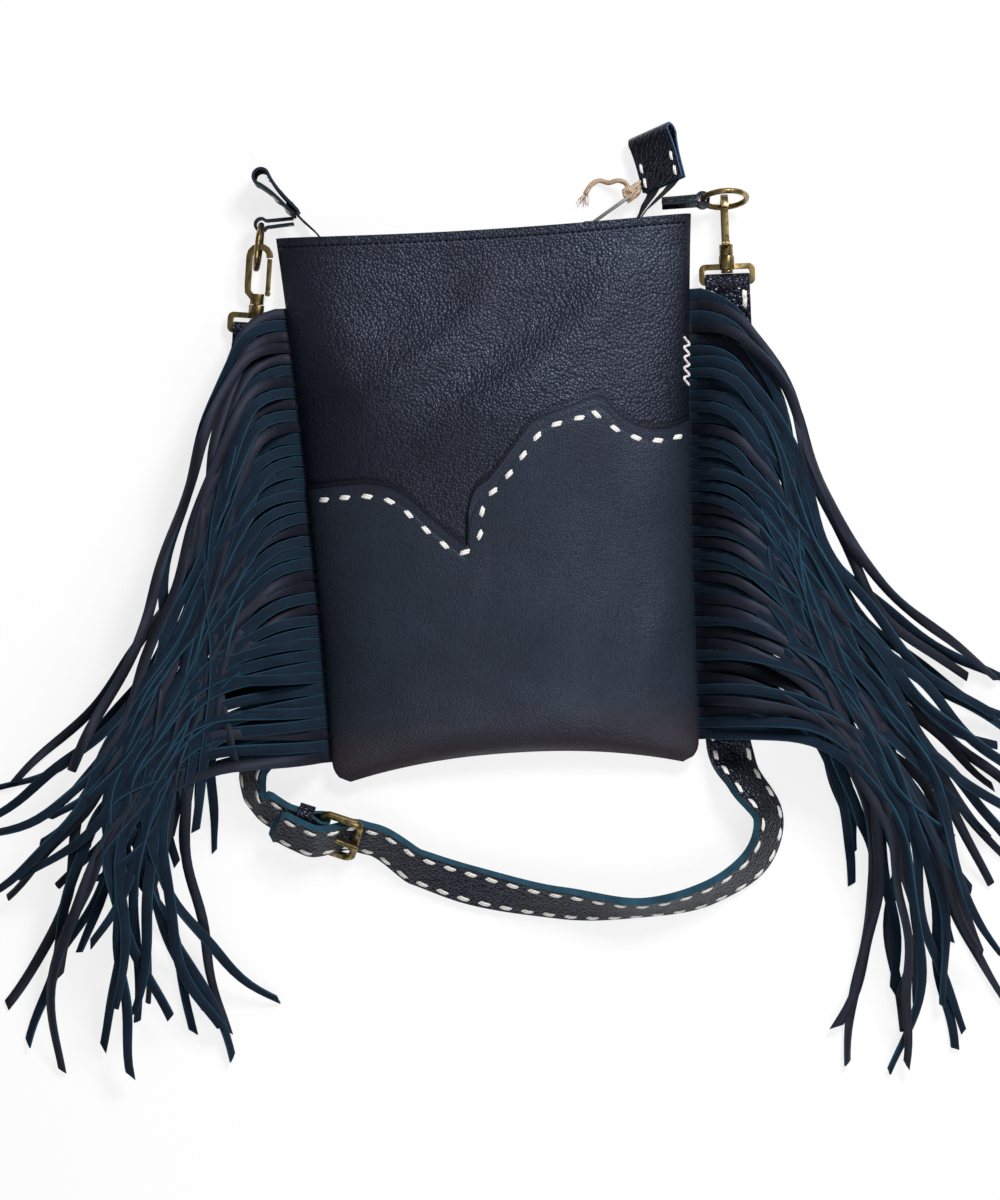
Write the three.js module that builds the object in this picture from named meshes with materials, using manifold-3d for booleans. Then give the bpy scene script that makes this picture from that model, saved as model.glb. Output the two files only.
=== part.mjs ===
// A fringed leather crossbody bag, lying on its back with its strap spread below it
// Millimetres, +Z up. The front faces +Z and the mouth is towards +Y.
// The origin is on the flat of the back panel, at the middle of the bag.

import * as THREE from 'three';
import { mergeVertices } from 'three/addons/utils/BufferGeometryUtils.js';
import Module from 'manifold-3d';

const wasm = await Module();
wasm.setup();

// Bag body
const HALF_TOP = 118.8;
const HALF_MIDDLE = 108.6;
const HALF_BOTTOM = 104.6;
const TOP_Y = 155;
const TOP_SAG = 3;
const CORNER_Y = -157;
const BOTTOM_RISE = 11;
const CORNER_RADIUS = 12;
const CROWN = 36;
const MOUTH_SHARE = 0.5;
const PANEL = 1.6;
const HEM = 11;
const HEM_EXTRA = 1;
const SEAM_LIFT = 5.4;
const CLEARANCE = 0.3;

// Yoke across the front
const OVERLAY = 1.2;
const UNDERLAY = 0.8;
const UNDERLAY_PEEK = 4.5;
const UNDERLAY_LAP = 12;
const YOKE_LINE = [
  [-112, 11], [-88, 12], [-71, 11.5], [-55, 5.5], [-40, -9.5], [-27, -21.5], [-20.5, -26.5],
  [-18.5, -8], [-13, 5], [-5.7, 10.1], [8, 26], [20.8, 41], [32, 46], [44, 49.8], [55, 53.5],
  [60, 52.8], [66, 46], [72, 40], [80, 35.5], [88, 33.5], [99, 34.5], [112, 40],
];
// Grid lines of the front as shares of the half width, closer at the yoke's notch
const FRONT_COLUMNS = [
  -1, -0.975, -0.92, -0.83, -0.73, -0.62, -0.52, -0.44, -0.36, -0.29, -0.235, -0.19, -0.17, -0.13,
  -0.07, 0, 0.09, 0.18, 0.27, 0.36, 0.46, 0.54, 0.6, 0.67, 0.75, 0.84, 0.92, 0.975, 1,
];
// Grid lines from the foot to the yoke, and from the yoke to the hem, as shares
const LOWER_ROWS = [0, 0.022, 0.06, 0.13, 0.23, 0.38, 0.58, 0.8];
const UPPER_ROWS = [0.2, 0.42, 0.63, 0.82];

// Fringe
const STRIPS = 40;
const STRIP_WIDTH = 6.2;
const STRIP_LENGTH = 280;
const STRIP_THICKNESS = 1.6;
const STRIP_STEPS = 7;
const ROOT_STEP = 6;
const ROOT_OUT = 1.5;
const PILE_LIMIT = 40;
const STACK_STEP = 13;
const HEADER_INSET = 9;
const HEADER_OUT = 3;
const LEFT_TOP_Y = 112;
const RIGHT_TOP_Y = 109;
const FRINGE_END_Y = -142;
const KEY_POINTS = [0, 0.12, 0.35, 0.65, 1];
// Each lock: its place down the seam, then how far the strip heads outwards at the key points
const LEFT_LOCKS = [
  [0, 80, 28, 15, 9, 30],
  [0.1, 80, 26, 16, 12, 24],
  [0.2, 80, 24, 20, 24, 40],
  [0.3, 80, 28, 24, 30, 74],
  [0.42, 80, 40, 26, 34, 58],
  [0.55, 80, 45, 30, 26, 30],
  [0.68, 85, 60, 24, 6, 2],
  [0.8, 88, 85, 42, -18, -36],
  [0.9, 90, 90, 48, -8, 20],
  [1, 92, 95, 68, 30, 18],
];
const RIGHT_LOCKS = [
  [0, 72, 36, 4, 28, 50],
  [0.1, 80, 34, 8, 26, 42],
  [0.2, 80, 32, 10, 34, 52],
  [0.3, 80, 34, 20, 36, 62],
  [0.42, 80, 40, 26, 38, 50],
  [0.55, 80, 45, 34, 36, 30],
  [0.68, 85, 55, 30, 22, 10],
  [0.8, 88, 65, 36, 0, -12],
  [0.9, 90, 75, 34, 2, 20],
  [1, 92, 90, 44, 10, -4],
];
const HEADING_SWAY = [6, 7, 9, 12, 22];
const HEADING_DRIFT = [0, -3, 8, -10, 14];

// Zip
const CHAIN_Y = 147;
const CHAIN_Z = 11.6;
const CHAIN_LEFT = -84;
const CHAIN_RIGHT = 80;
const CHAIN_WIDTH = 5;
const CHAIN_THICKNESS = 2.4;
const TOOTH_PITCH = 5;
const TAPE = 0.8;
const TAPE_WIDTH = 22;
const TAPE_MARGIN = 0.05;
const TAPE_SEAT = 1.2;
const TAPE_FREE = 4.5;
const CHAIN_GAP = 1.4;
const LEFT_TAIL = [[-91, 151], [-96, 157.5], [-102, 163.5], [-111, 174]];
const RIGHT_TAIL = [[87, 151], [92, 157.5], [97, 163], [101, 167], [104, 171]];
const RIGHT_TAB_Z = 19;
const RIGHT_TAB_WIDTH = new THREE.Vector3(0.82, 0.27, 0.5).normalize();
const RIGHT_TAB_ALONG = [0.35, 0.93, 0.1];
const TAB_LENGTH = 34;
const TAB_WIDTH = 27;
const TAB_LEATHER = 1.8;
const SLIDER_X = 60;
const SLIDER_LENGTH = 11;
const SLIDER_WALL = 1.3;
const PULLER_LENGTH = 31;
const PULLER_WIDTH = 6;
const PULLER_THICKNESS = 1.8;
const PULLER_HEADING = 32;

// Rings and snap hooks
const RING_RADIUS = 12.7;
const RING_WIRE = 1.8;
const RING_ROOM = 0.9;
const RING_TAB_WIDTH = 8;
const HOOK_THICKNESS = 4;
const HOOK_BAND = 3.6;
const HOOK_HALF = 5.8;
const HOOK_LENGTH = 33;
const GATE_WIDTH = 2.6;
const STEM_RADIUS = 2;
const BOSS_RADIUS = 4.4;
const LOOP_WIDTH = 32;
const LOOP_LENGTH = 12;
const LOOP_BAR = 3.2;

// Strap
const STRAP_WIDTH = 25.4;
const STRAP_THICKNESS = 4.4;
const STRAP_EDGE_LIFT = 0.5;
// Each strap's way along the floor: x, y, lean in degrees and lift
const LONG_STRAP = [
  [136.9, 107.1, 0, 5.5], [136.8, 88, 0, 2], [138, 55, 0, 0], [138, 10, 0, 0], [136, -40, 0, 0],
  [132, -90, -2, 0], [124, -128, -2, 0], [122, -150, -8, 0], [129, -169, -44, 0], [141.5, -191, -54, 0],
  [134, -214, -54, 0], [106, -232, -62, 0], [68, -238.5, -70, 0], [20, -233, -50, 0], [-30, -220, -36, 0],
  [-62, -207, -42, 0],
];
const SHORT_STRAP = [
  [-135, 96, 0, 1.8], [-137.5, 76, 0, 0.4], [-138, 20, 0, 0], [-136, -40, 0, 0], [-134, -95, 4, 0],
  [-140, -128, 30, 0], [-150, -148, 58, 0], [-150, -163, 64, 0],
];

// Buckle: its middle, the way from its heel bar to its far bar, and its lean in degrees
const BUCKLE = { centre: [-104, -187, 15.8], along: [0.93, -0.366, 0], lean: 50 };
const BUCKLE_LENGTH = 26;
const BUCKLE_WIDTH = 37;
const BUCKLE_BAR = 4;
const BUCKLE_CHAMFER = 1;
const HEEL_X = -(BUCKLE_LENGTH - BUCKLE_BAR) / 2;
const PRONG = 2.8;
const PRONG_LIFT = 6;
const PRONG_LINE = [[-8, 1.2], [2, 3.4], [13.6, 4]];
const PRONG_EYE = 4.2;
const KEEPER_LEATHER = 1.6;
const KEEPER_ROOM = 1;
const KEEPER_WIDTH = 9;
const KEEPER_X = -21;
// The free end of the long strap
const STRAP_TIP = [-142, -183.5, 17];
// The two straps through the buckle: how far along it and how far before its face
const THREADED_LONG = [
  [24, -5], [14, -4.6], [9.4, -4.6], [6.5, -3.7], [-8.5, 7.6], [-13, 9.1], [-18, 8.6], [-26, 7.4], [-33, 6.4],
];
const THREADED_SHORT = [[-31, 0], [-26, 0], [-19.7, 0]];

const mix = THREE.MathUtils.lerp;
const smooth = THREE.MathUtils.smoothstep;
const rad = THREE.MathUtils.degToRad;

const group = new THREE.Group();

const materials = {
  grain: new THREE.MeshStandardMaterial({ color: 0x23262f, roughness: 0.45, metalness: 0 }),
  suede: new THREE.MeshStandardMaterial({ color: 0x17303f, roughness: 0.95, metalness: 0 }),
  tape: new THREE.MeshStandardMaterial({ color: 0x111216, roughness: 0.9, metalness: 0 }),
  zip: new THREE.MeshStandardMaterial({ color: 0xb9bcc0, roughness: 0.3, metalness: 1 }),
  brass: new THREE.MeshStandardMaterial({ color: 0x8d6f40, roughness: 0.38, metalness: 1 }),
};

function toSolid(geometry) {
  const bare = geometry.clone();
  bare.deleteAttribute('normal');
  bare.deleteAttribute('uv');
  const merged = mergeVertices(bare, 1e-3);
  const vertProperties = new Float32Array(merged.attributes.position.array);
  const triVerts = new Uint32Array(merged.index.array);
  return new wasm.Manifold(new wasm.Mesh({ numProp: 3, vertProperties, triVerts }));
}

function toGeometry(solid) {
  const mesh = solid.getMesh();
  const geometry = new THREE.BufferGeometry();
  geometry.setAttribute('position', new THREE.BufferAttribute(mesh.vertProperties, 3));
  geometry.setIndex(new THREE.BufferAttribute(mesh.triVerts, 1));
  geometry.computeVertexNormals();
  return geometry;
}

function join(geometries) {
  const solids = geometries.map(toSolid);
  return toGeometry(solids.reduce((whole, solid) => whole.add(solid)));
}

function cut(geometry, tools) {
  return toGeometry(tools.map(toSolid).reduce((whole, tool) => whole.subtract(tool), toSolid(geometry)));
}

function addNode(name, geometry, material, matrix) {
  const mesh = new THREE.Mesh(geometry, material);
  mesh.name = name;
  if (matrix) {
    mesh.applyMatrix4(matrix);
  }
  group.add(mesh);
  return mesh;
}

// A frame with its origin, its X axis and its Z axis in the part's frame
function frameAt(origin, xAxis, zAxis) {
  const x = new THREE.Vector3(...xAxis).normalize();
  const z = new THREE.Vector3(...zAxis).normalize();
  const y = new THREE.Vector3().crossVectors(z, x).normalize();
  const squareX = new THREE.Vector3().crossVectors(y, z);
  return new THREE.Matrix4().makeBasis(squareX, y, z).setPosition(...origin);
}

// A closed band of constant thickness along an open line of 2-D points
function bandShape(points, thickness) {
  const sideOf = (sign) => points.map((point, i) => {
    const before = points[Math.max(i - 1, 0)];
    const after = points[Math.min(i + 1, points.length - 1)];
    const along = new THREE.Vector2(after[0] - before[0], after[1] - before[1]).normalize();
    return new THREE.Vector2(
      point[0] - (sign * along.y * thickness) / 2,
      point[1] + (sign * along.x * thickness) / 2,
    );
  });
  return new THREE.Shape([...sideOf(1), ...sideOf(-1).reverse()]);
}

function slab(shape, depth) {
  const geometry = new THREE.ExtrudeGeometry(shape, { depth, bevelEnabled: false, curveSegments: 2 });
  return geometry.translate(0, 0, -depth / 2);
}

function roundedRectangle(width, height, radius, target = new THREE.Shape()) {
  const [w, h] = [width / 2, height / 2];
  target.moveTo(-w + radius, -h);
  target.lineTo(w - radius, -h);
  target.absarc(w - radius, -h + radius, radius, -Math.PI / 2, 0, false);
  target.lineTo(w, h - radius);
  target.absarc(w - radius, h - radius, radius, 0, Math.PI / 2, false);
  target.lineTo(-w + radius, h);
  target.absarc(-w + radius, h - radius, radius, Math.PI / 2, Math.PI, false);
  target.lineTo(-w, -h + radius);
  target.absarc(-w + radius, -h + radius, radius, Math.PI, Math.PI * 1.5, false);
  return target;
}

function cylinderBetween(start, end, radius, sides = 12) {
  const from = new THREE.Vector3(...start);
  const to = new THREE.Vector3(...end);
  const along = to.clone().sub(from);
  const geometry = new THREE.CylinderGeometry(radius, radius, along.length(), sides);
  const turn = new THREE.Quaternion().setFromUnitVectors(new THREE.Vector3(0, 1, 0), along.clone().normalize());
  return geometry.applyQuaternion(turn).translate(...from.add(to).multiplyScalar(0.5).toArray());
}

// A closed skin between an upper and a lower grid of points
function gridSolid(columns, rows, upper, lower) {
  const points = [];
  const at = (side, i, j) => side * (columns + 1) * (rows + 1) + j * (columns + 1) + i;
  for (const surface of [upper, lower]) {
    for (let j = 0; j <= rows; j++) {
      for (let i = 0; i <= columns; i++) {
        points.push(...surface((2 * i) / columns - 1, j / rows));
      }
    }
  }
  const faces = [];
  const quad = (a, b, c, d) => faces.push(a, b, c, a, c, d);
  for (let j = 0; j < rows; j++) {
    for (let i = 0; i < columns; i++) {
      quad(at(0, i, j), at(0, i + 1, j), at(0, i + 1, j + 1), at(0, i, j + 1));
      quad(at(1, i, j), at(1, i, j + 1), at(1, i + 1, j + 1), at(1, i + 1, j));
    }
  }
  for (let i = 0; i < columns; i++) {
    quad(at(1, i, 0), at(1, i + 1, 0), at(0, i + 1, 0), at(0, i, 0));
    quad(at(0, i, rows), at(0, i + 1, rows), at(1, i + 1, rows), at(1, i, rows));
  }
  for (let j = 0; j < rows; j++) {
    quad(at(0, 0, j), at(0, 0, j + 1), at(1, 0, j + 1), at(1, 0, j));
    quad(at(1, columns, j), at(1, columns, j + 1), at(0, columns, j + 1), at(0, columns, j));
  }
  const geometry = new THREE.BufferGeometry();
  geometry.setAttribute('position', new THREE.Float32BufferAttribute(points, 3));
  geometry.setIndex(faces);
  geometry.computeVertexNormals();
  return geometry;
}

// The bag's outline
function halfWidth(y) {
  const share = y / TOP_Y;
  const slope = (HALF_TOP - HALF_BOTTOM) / 2;
  const waist = (HALF_TOP + HALF_BOTTOM) / 2 - HALF_MIDDLE;
  return HALF_MIDDLE + slope * share + waist * share * share;
}

function bottomY(u) {
  return CORNER_Y + BOTTOM_RISE * (1 - Math.abs(u) ** 2.2);
}

function topY(u) {
  return TOP_Y - TOP_SAG * (1 - u * u);
}

function cornerInset(y, u) {
  const up = Math.max(CORNER_RADIUS - (y - bottomY(u)), 0);
  return CORNER_RADIUS - Math.sqrt(CORNER_RADIUS ** 2 - up ** 2);
}

// The point on the bag's plan at u across (-1 to 1) and at height y
function planX(u, y) {
  return u * (halfWidth(y) - cornerInset(y, u) * 0.8);
}

function upShare(u, y) {
  return (y - bottomY(u)) / (topY(u) - bottomY(u));
}

// How far the fringe header opens the side seam
function headerLift(y) {
  const low = smooth(y, FRINGE_END_Y - 13, FRINGE_END_Y - 7);
  return (STRIP_THICKNESS + CLEARANCE) * low * (1 - smooth(y, RIGHT_TOP_Y + 10, RIGHT_TOP_Y + 30));
}

const BACK_EDGE_TOP = SEAM_LIFT + PANEL;
const HEADER_Z = BACK_EDGE_TOP + CLEARANCE + STRIP_THICKNESS / 2;

function frontHeight(u, y) {
  const v = THREE.MathUtils.clamp(upShare(u, y), 0, 1);
  const across = (1 - Math.abs(u) ** mix(3, 5, smooth(v, 0.6, 1))) ** 0.62;
  const lower = v < 0.35 ? (1 - (1 - v / 0.35) ** 3) ** 0.62 : 1;
  const upper = mix(1, MOUTH_SHARE, smooth(v, 0.6, 1));
  const edge = BACK_EDGE_TOP + CLEARANCE + headerLift(y) + PANEL;
  return edge + (CROWN - edge) * across * lower * upper;
}

function backHeight(u, y) {
  const v = THREE.MathUtils.clamp(upShare(u, y), 0, 1);
  const side = smooth(Math.abs(u), 0.78, 1) ** 1.5;
  const low = (1 - smooth(v, 0, 0.12)) ** 1.5;
  return SEAM_LIFT * Math.max(side, low);
}

// The yoke's cut line as a height y for each x
const yokePoints = YOKE_LINE.map(([x, y]) => new THREE.Vector3(x, y, 0));
const yokeCurve = new THREE.CatmullRomCurve3(yokePoints, false, 'centripetal');

function yokeY(x) {
  let [low, high] = [0, 1];
  for (let i = 0; i < 30; i++) {
    const middle = (low + high) / 2;
    if (yokeCurve.getPoint(middle).x < x) {
      low = middle;
    } else {
      high = middle;
    }
  }
  return yokeCurve.getPoint(low).y;
}

// The heights y of the front's grid lines in one column; every layer of the front shares them
function frontRows(u) {
  const yoke = yokeY(u * HALF_MIDDLE);
  const lap = yoke - UNDERLAY_LAP;
  const peek = yoke + UNDERLAY_PEEK;
  const hem = topY(u) - HEM;
  const lower = LOWER_ROWS.map((share) => mix(bottomY(u), lap, share));
  const upper = UPPER_ROWS.map((share) => mix(peek, hem, share));
  return [...lower, lap, yoke, peek, ...upper, hem, topY(u)];
}

const LAP_ROW = LOWER_ROWS.length;
const YOKE_ROW = LAP_ROW + 1;
const PEEK_ROW = LAP_ROW + 2;
const HEM_ROW = PEEK_ROW + UPPER_ROWS.length + 1;

// A layer of the front between two rows, with its lower and upper face as offsets from the panel
function frontLayer(firstRow, lastRow, lowerOffset, upperOffset) {
  const columns = FRONT_COLUMNS.length - 1;
  const point = (u, t, offset) => {
    const share = FRONT_COLUMNS[Math.round(((u + 1) / 2) * columns)];
    const row = firstRow + Math.round(t * (lastRow - firstRow));
    const y = frontRows(share)[row];
    return [planX(share, y), y, frontHeight(share, y) + offset(row, share)];
  };
  const [upper, lower] = [upperOffset, lowerOffset].map((offset) => (u, t) => point(u, t, offset));
  return gridSolid(columns, lastRow - firstRow, upper, lower);
}

function frontPanel() {
  const inner = (row, u) => -PANEL - (row >= HEM_ROW ? HEM_EXTRA * (1 - u * u) : 0);
  return frontLayer(0, HEM_ROW + 1, inner, () => 0);
}

function yokeUnderlay() {
  return frontLayer(LAP_ROW, PEEK_ROW, () => CLEARANCE, () => CLEARANCE + UNDERLAY);
}

// The overlay lies on the panel low down and steps up over the underlay at the yoke
function frontOverlay() {
  const seat = (row) => CLEARANCE + (row >= LAP_ROW - 1 ? UNDERLAY + CLEARANCE : 0);
  return frontLayer(0, YOKE_ROW, seat, (row) => seat(row) + OVERLAY);
}

function columnShare(u) {
  return Math.sign(u) * (1 - (1 - Math.abs(u)) ** 1.45);
}

function backPanel() {
  const rows = [0, 0.02, 0.06, 0.12, 0.22, 0.36, 0.5, 0.64, 0.78, 0.88, 0.965, 1];
  const point = (u, t, thickness) => {
    const across = columnShare(u);
    const v = rows[Math.round(t * (rows.length - 1))];
    const y = mix(bottomY(across), topY(across), v);
    return [planX(across, y), y, backHeight(across, y) + thickness(v, across)];
  };
  const hem = (v, u) => PANEL + (v > 0.96 ? HEM_EXTRA * (1 - u * u) : 0);
  return gridSolid(14, rows.length - 1, (u, t) => point(u, t, hem), (u, t) => point(u, t, () => 0));
}

// Heights of what lies on the floor, in small square cells
const CELL = 2;
const heights = new Map();
const hardware = new Map();

function cellKey(x, y) {
  return `${Math.round(x / CELL)},${Math.round(y / CELL)}`;
}

function raise(x, y, top) {
  heights.set(cellKey(x, y), Math.max(heights.get(cellKey(x, y)) ?? 0, top));
}

// Points across and along a flat strip between two stations
function footprint(from, to, width, visit) {
  const along = new THREE.Vector2(to.x - from.x, to.y - from.y);
  const count = Math.max(Math.ceil(along.length() / CELL), 1);
  const aside = new THREE.Vector2(-along.y, along.x).normalize();
  const lanes = Math.max(Math.ceil(width / CELL), 2);
  for (let i = 0; i <= count; i++) {
    for (let lane = 0; lane <= lanes; lane++) {
      const off = (lane / lanes - 0.5) * width;
      const share = i / count;
      visit(mix(from.x, to.x, share) + aside.x * off, mix(from.y, to.y, share) + aside.y * off, share);
    }
  }
}

function keyed(values, share) {
  let i = 0;
  while (i < KEY_POINTS.length - 2 && share > KEY_POINTS[i + 1]) {
    i++;
  }
  return mix(values[i], values[i + 1], smooth(share, KEY_POINTS[i], KEY_POINTS[i + 1]));
}

function lockAt(locks, place) {
  let i = 0;
  while (i < locks.length - 2 && place > locks[i + 1][0]) {
    i++;
  }
  const share = (place - locks[i][0]) / (locks[i + 1][0] - locks[i][0]);
  return locks[i].slice(1).map((value, k) => mix(value, locks[i + 1][k + 1], share));
}

// The plan of one fringe strip, from the seam to its tip
function stripPlan(side, k, steps) {
  const place = k / (STRIPS - 1);
  const golden = ((k * 0.618034) % 1) * 2 - 1;
  const silver = ((k * 0.754877) % 1) * 2 - 1;
  const lock = lockAt(side < 0 ? LEFT_LOCKS : RIGHT_LOCKS, place);
  const sway = (i) => golden * HEADING_SWAY[i] + silver * HEADING_DRIFT[i];
  const headings = lock.map((value, i) => value + sway(i));
  const y = mix(side < 0 ? LEFT_TOP_Y : RIGHT_TOP_Y, FRINGE_END_Y, place);
  const seam = side * halfWidth(y);
  const points = [ROOT_OUT, ROOT_STEP].map((out) => new THREE.Vector3(seam + side * out, y, 0));
  const fine = 6;
  for (let i = 0; i < steps; i++) {
    const point = points[i + 1].clone();
    for (let j = 0; j < fine; j++) {
      const heading = rad(keyed(headings, (i + (j + 0.5) / fine) / steps));
      const step = (STRIP_LENGTH - ROOT_STEP) / steps / fine;
      point.x += side * Math.sin(heading) * step;
      point.y -= Math.cos(heading) * step;
    }
    points.push(point);
  }
  return points;
}

// The highest thing under a strip between two points
function groundUnder(from, to) {
  let top = 0;
  footprint(from, to, STRIP_WIDTH, (x, y) => {
    top = Math.max(top, heights.get(cellKey(x, y)) ?? 0);
  });
  return top;
}

// Raises a strip's stretches that would cut through the strap or a swivel
function liftOverHardware(points) {
  for (let i = 0; i + 1 < points.length; i++) {
    let need = 0;
    footprint(points[i], points[i + 1], STRIP_WIDTH + 1, (x, y, share) => {
      const middle = mix(points[i].z, points[i + 1].z, share);
      need = Math.max(need, (hardware.get(cellKey(x, y)) ?? 0) + CLEARANCE + STRIP_THICKNESS / 2 - middle);
    });
    if (need > 0) {
      points[i].z += i > 0 ? need : 0;
      points[i + 1].z += need;
    }
  }
}

// Lays a strip on what is already there, and marks it as laid
function layStrip(points) {
  points.forEach((point, i) => {
    const before = points[Math.max(i - 1, 0)].clone().lerp(point, 0.5);
    const after = points[Math.min(i + 1, points.length - 1)].clone().lerp(point, 0.5);
    const ground = Math.min(Math.max(groundUnder(before, point), groundUnder(point, after)), PILE_LIMIT);
    point.z = i === 0 ? HEADER_Z : ground + CLEARANCE + STRIP_THICKNESS / 2;
  });
  liftOverHardware(points);
  points.slice(1).forEach((point, i) => {
    footprint(points[i], point, STRIP_WIDTH - 2, (x, y, share) => {
      raise(x, y, mix(points[i].z, point.z, share) + STRIP_THICKNESS / 2);
    });
  });
  return points;
}

// The way across a strap that runs along a line and leans by an angle
function leaningAside(along, lean) {
  const flat = new THREE.Vector3(-along.y, along.x, 0).normalize();
  const up = new THREE.Vector3().crossVectors(along, flat).normalize();
  return flat.multiplyScalar(Math.cos(lean)).addScaledVector(up, Math.sin(lean));
}

// A ribbon of rectangular section through its stations, flat where no way across is given
function ribbon(stations, width, thickness, asides) {
  const points = [];
  stations.forEach((station, i) => {
    const before = stations[Math.max(i - 1, 0)];
    const after = stations[Math.min(i + 1, stations.length - 1)];
    const along = after.clone().sub(before).normalize();
    const aside = asides ? asides[i] : leaningAside(along, 0);
    const face = new THREE.Vector3().crossVectors(along, aside).normalize();
    for (const [a, b] of [[-1, -1], [1, -1], [1, 1], [-1, 1]]) {
      const corner = station.clone();
      corner.addScaledVector(aside, (a * width) / 2);
      corner.addScaledVector(face, (b * thickness) / 2);
      points.push(...corner.toArray());
    }
  });
  const faces = [];
  const last = (stations.length - 1) * 4;
  for (let i = 0; i < last; i += 4) {
    for (let j = 0; j < 4; j++) {
      const next = (j + 1) % 4;
      faces.push(i + j, i + 4 + next, i + next, i + j, i + 4 + j, i + 4 + next);
    }
  }
  faces.push(0, 1, 2, 0, 2, 3, last, last + 2, last + 1, last, last + 3, last + 2);
  const geometry = new THREE.BufferGeometry();
  geometry.setAttribute('position', new THREE.Float32BufferAttribute(points, 3));
  geometry.setIndex(faces);
  const solid = toSolid(geometry);
  return solid.volume() > 0 ? geometry : geometry.setIndex(flipped(faces));
}

function flipped(faces) {
  const turned = [];
  for (let i = 0; i < faces.length; i += 3) {
    turned.push(faces[i], faces[i + 2], faces[i + 1]);
  }
  return turned;
}

function fringe(side) {
  const pieces = [];
  for (let n = 0; n < STRIPS; n++) {
    const k = (n * STACK_STEP) % STRIPS;
    const stations = layStrip(stripPlan(side, k, STRIP_STEPS));
    const root = stations[0].clone();
    root.x -= side * (HEADER_INSET - 4);
    pieces.push(ribbon([root, ...stations], STRIP_WIDTH, STRIP_THICKNESS));
  }
  const top = side < 0 ? LEFT_TOP_Y : RIGHT_TOP_Y;
  const rows = 12;
  const header = (u, t, offset) => {
    const y = mix(FRINGE_END_Y - STRIP_WIDTH / 2, top + STRIP_WIDTH / 2, t);
    const reach = mix(-HEADER_INSET, HEADER_OUT, side > 0 ? (u + 1) / 2 : (1 - u) / 2);
    return [side * (halfWidth(y) + reach), y, HEADER_Z + offset];
  };
  const half = STRIP_THICKNESS / 2 + 0.02;
  pieces.push(gridSolid(2, rows, (u, t) => header(u, t, half), (u, t) => header(u, t, -half)));
  return join(pieces);
}

// A strap lying on the floor: plan points, each with its lean in degrees and a lift off the floor
function strapRoute(points, steps) {
  const places = points.map(([x, y]) => new THREE.Vector3(x, y, 0));
  const curve = new THREE.CatmullRomCurve3(places, false, 'centripetal');
  const stations = [];
  const asides = [];
  for (let i = 0; i <= steps; i++) {
    const share = i / steps;
    const place = share * (points.length - 1);
    const near = Math.min(Math.floor(place), points.length - 2);
    const lean = rad(mix(points[near][2], points[near + 1][2], smooth(place - near, 0, 1)));
    const lift = mix(points[near][3], points[near + 1][3], smooth(place - near, 0, 1));
    const half = (STRAP_WIDTH * Math.abs(Math.sin(lean)) + STRAP_THICKNESS * Math.abs(Math.cos(lean))) / 2;
    stations.push(curve.getPoint(share).setZ(half + STRAP_EDGE_LIFT + lift));
    asides.push(leaningAside(curve.getTangent(share), lean));
  }
  return { stations, asides };
}

function stampStrap({ stations, asides }) {
  stations.slice(1).forEach((station, i) => {
    const rise = Math.abs(asides[i + 1].z);
    const level = Math.sqrt(1 - rise * rise);
    const half = (STRAP_WIDTH * rise + STRAP_THICKNESS * level) / 2;
    const width = STRAP_WIDTH * level + STRAP_THICKNESS;
    footprint(stations[i], station, width + 2, (x, y) => raise(x, y, station.z + half));
  });
}

const buckleAlong = new THREE.Vector3(...BUCKLE.along).normalize();
const buckleAside = leaningAside(buckleAlong, rad(BUCKLE.lean));
const buckleFace = new THREE.Vector3().crossVectors(buckleAlong, buckleAside);
const buckleMatrix = frameAt(BUCKLE.centre, buckleAlong.toArray(), buckleFace.toArray());
// The same place with +X along the buckle and +Y out of its face, for shapes drawn from the side
const buckleProfile = frameAt(BUCKLE.centre, buckleAlong.toArray(), buckleAside.clone().negate().toArray());

// Runs a strap on through the buckle, its width along the buckle's
function threadBuckle({ stations, asides }, places, sign) {
  for (const [x, out] of places) {
    stations.push(new THREE.Vector3(x, out, 0).applyMatrix4(buckleProfile));
    asides.push(buckleAside.clone().multiplyScalar(sign));
  }
}

function buckleFrame() {
  const outline = roundedRectangle(BUCKLE_LENGTH, BUCKLE_WIDTH, 6);
  const inner = [BUCKLE_LENGTH, BUCKLE_WIDTH].map((size) => size - 2 * BUCKLE_BAR);
  outline.holes.push(roundedRectangle(...inner, 2.4, new THREE.Path()));
  const geometry = new THREE.ExtrudeGeometry(outline, {
    depth: BUCKLE_BAR - 2 * BUCKLE_CHAMFER, bevelThickness: BUCKLE_CHAMFER, bevelSize: BUCKLE_CHAMFER,
    bevelOffset: -BUCKLE_CHAMFER, bevelSegments: 1, curveSegments: 3,
  });
  return geometry.translate(0, 0, BUCKLE_CHAMFER - BUCKLE_BAR / 2);
}

// Prong in the buckle's profile frame: an eye round the heel bar and a bar to the far bar
function prongBar(thickness) {
  return slab(bandShape(PRONG_LINE, thickness), thickness);
}

function prong() {
  const eye = cylinderBetween([HEEL_X, 0, -PRONG / 2], [HEEL_X, 0, PRONG / 2], PRONG_EYE, 14);
  const bore = cylinderBetween([HEEL_X, 0, -PRONG], [HEEL_X, 0, PRONG], BUCKLE_BAR * 0.56 + CLEARANCE, 14);
  return cut(join([eye, prongBar(PRONG)]), [bore]);
}

// The room that the prong sweeps through the strap as it lifts
function prongSweep() {
  return [0, 0.5, 1].map((share) => {
    const room = prongBar(PRONG + 2 * CLEARANCE + 0.2).translate(-HEEL_X, 0, 0);
    room.rotateZ(rad(PRONG_LIFT) * share);
    return room.translate(HEEL_X, 0, 0).applyMatrix4(buckleProfile);
  });
}

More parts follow.
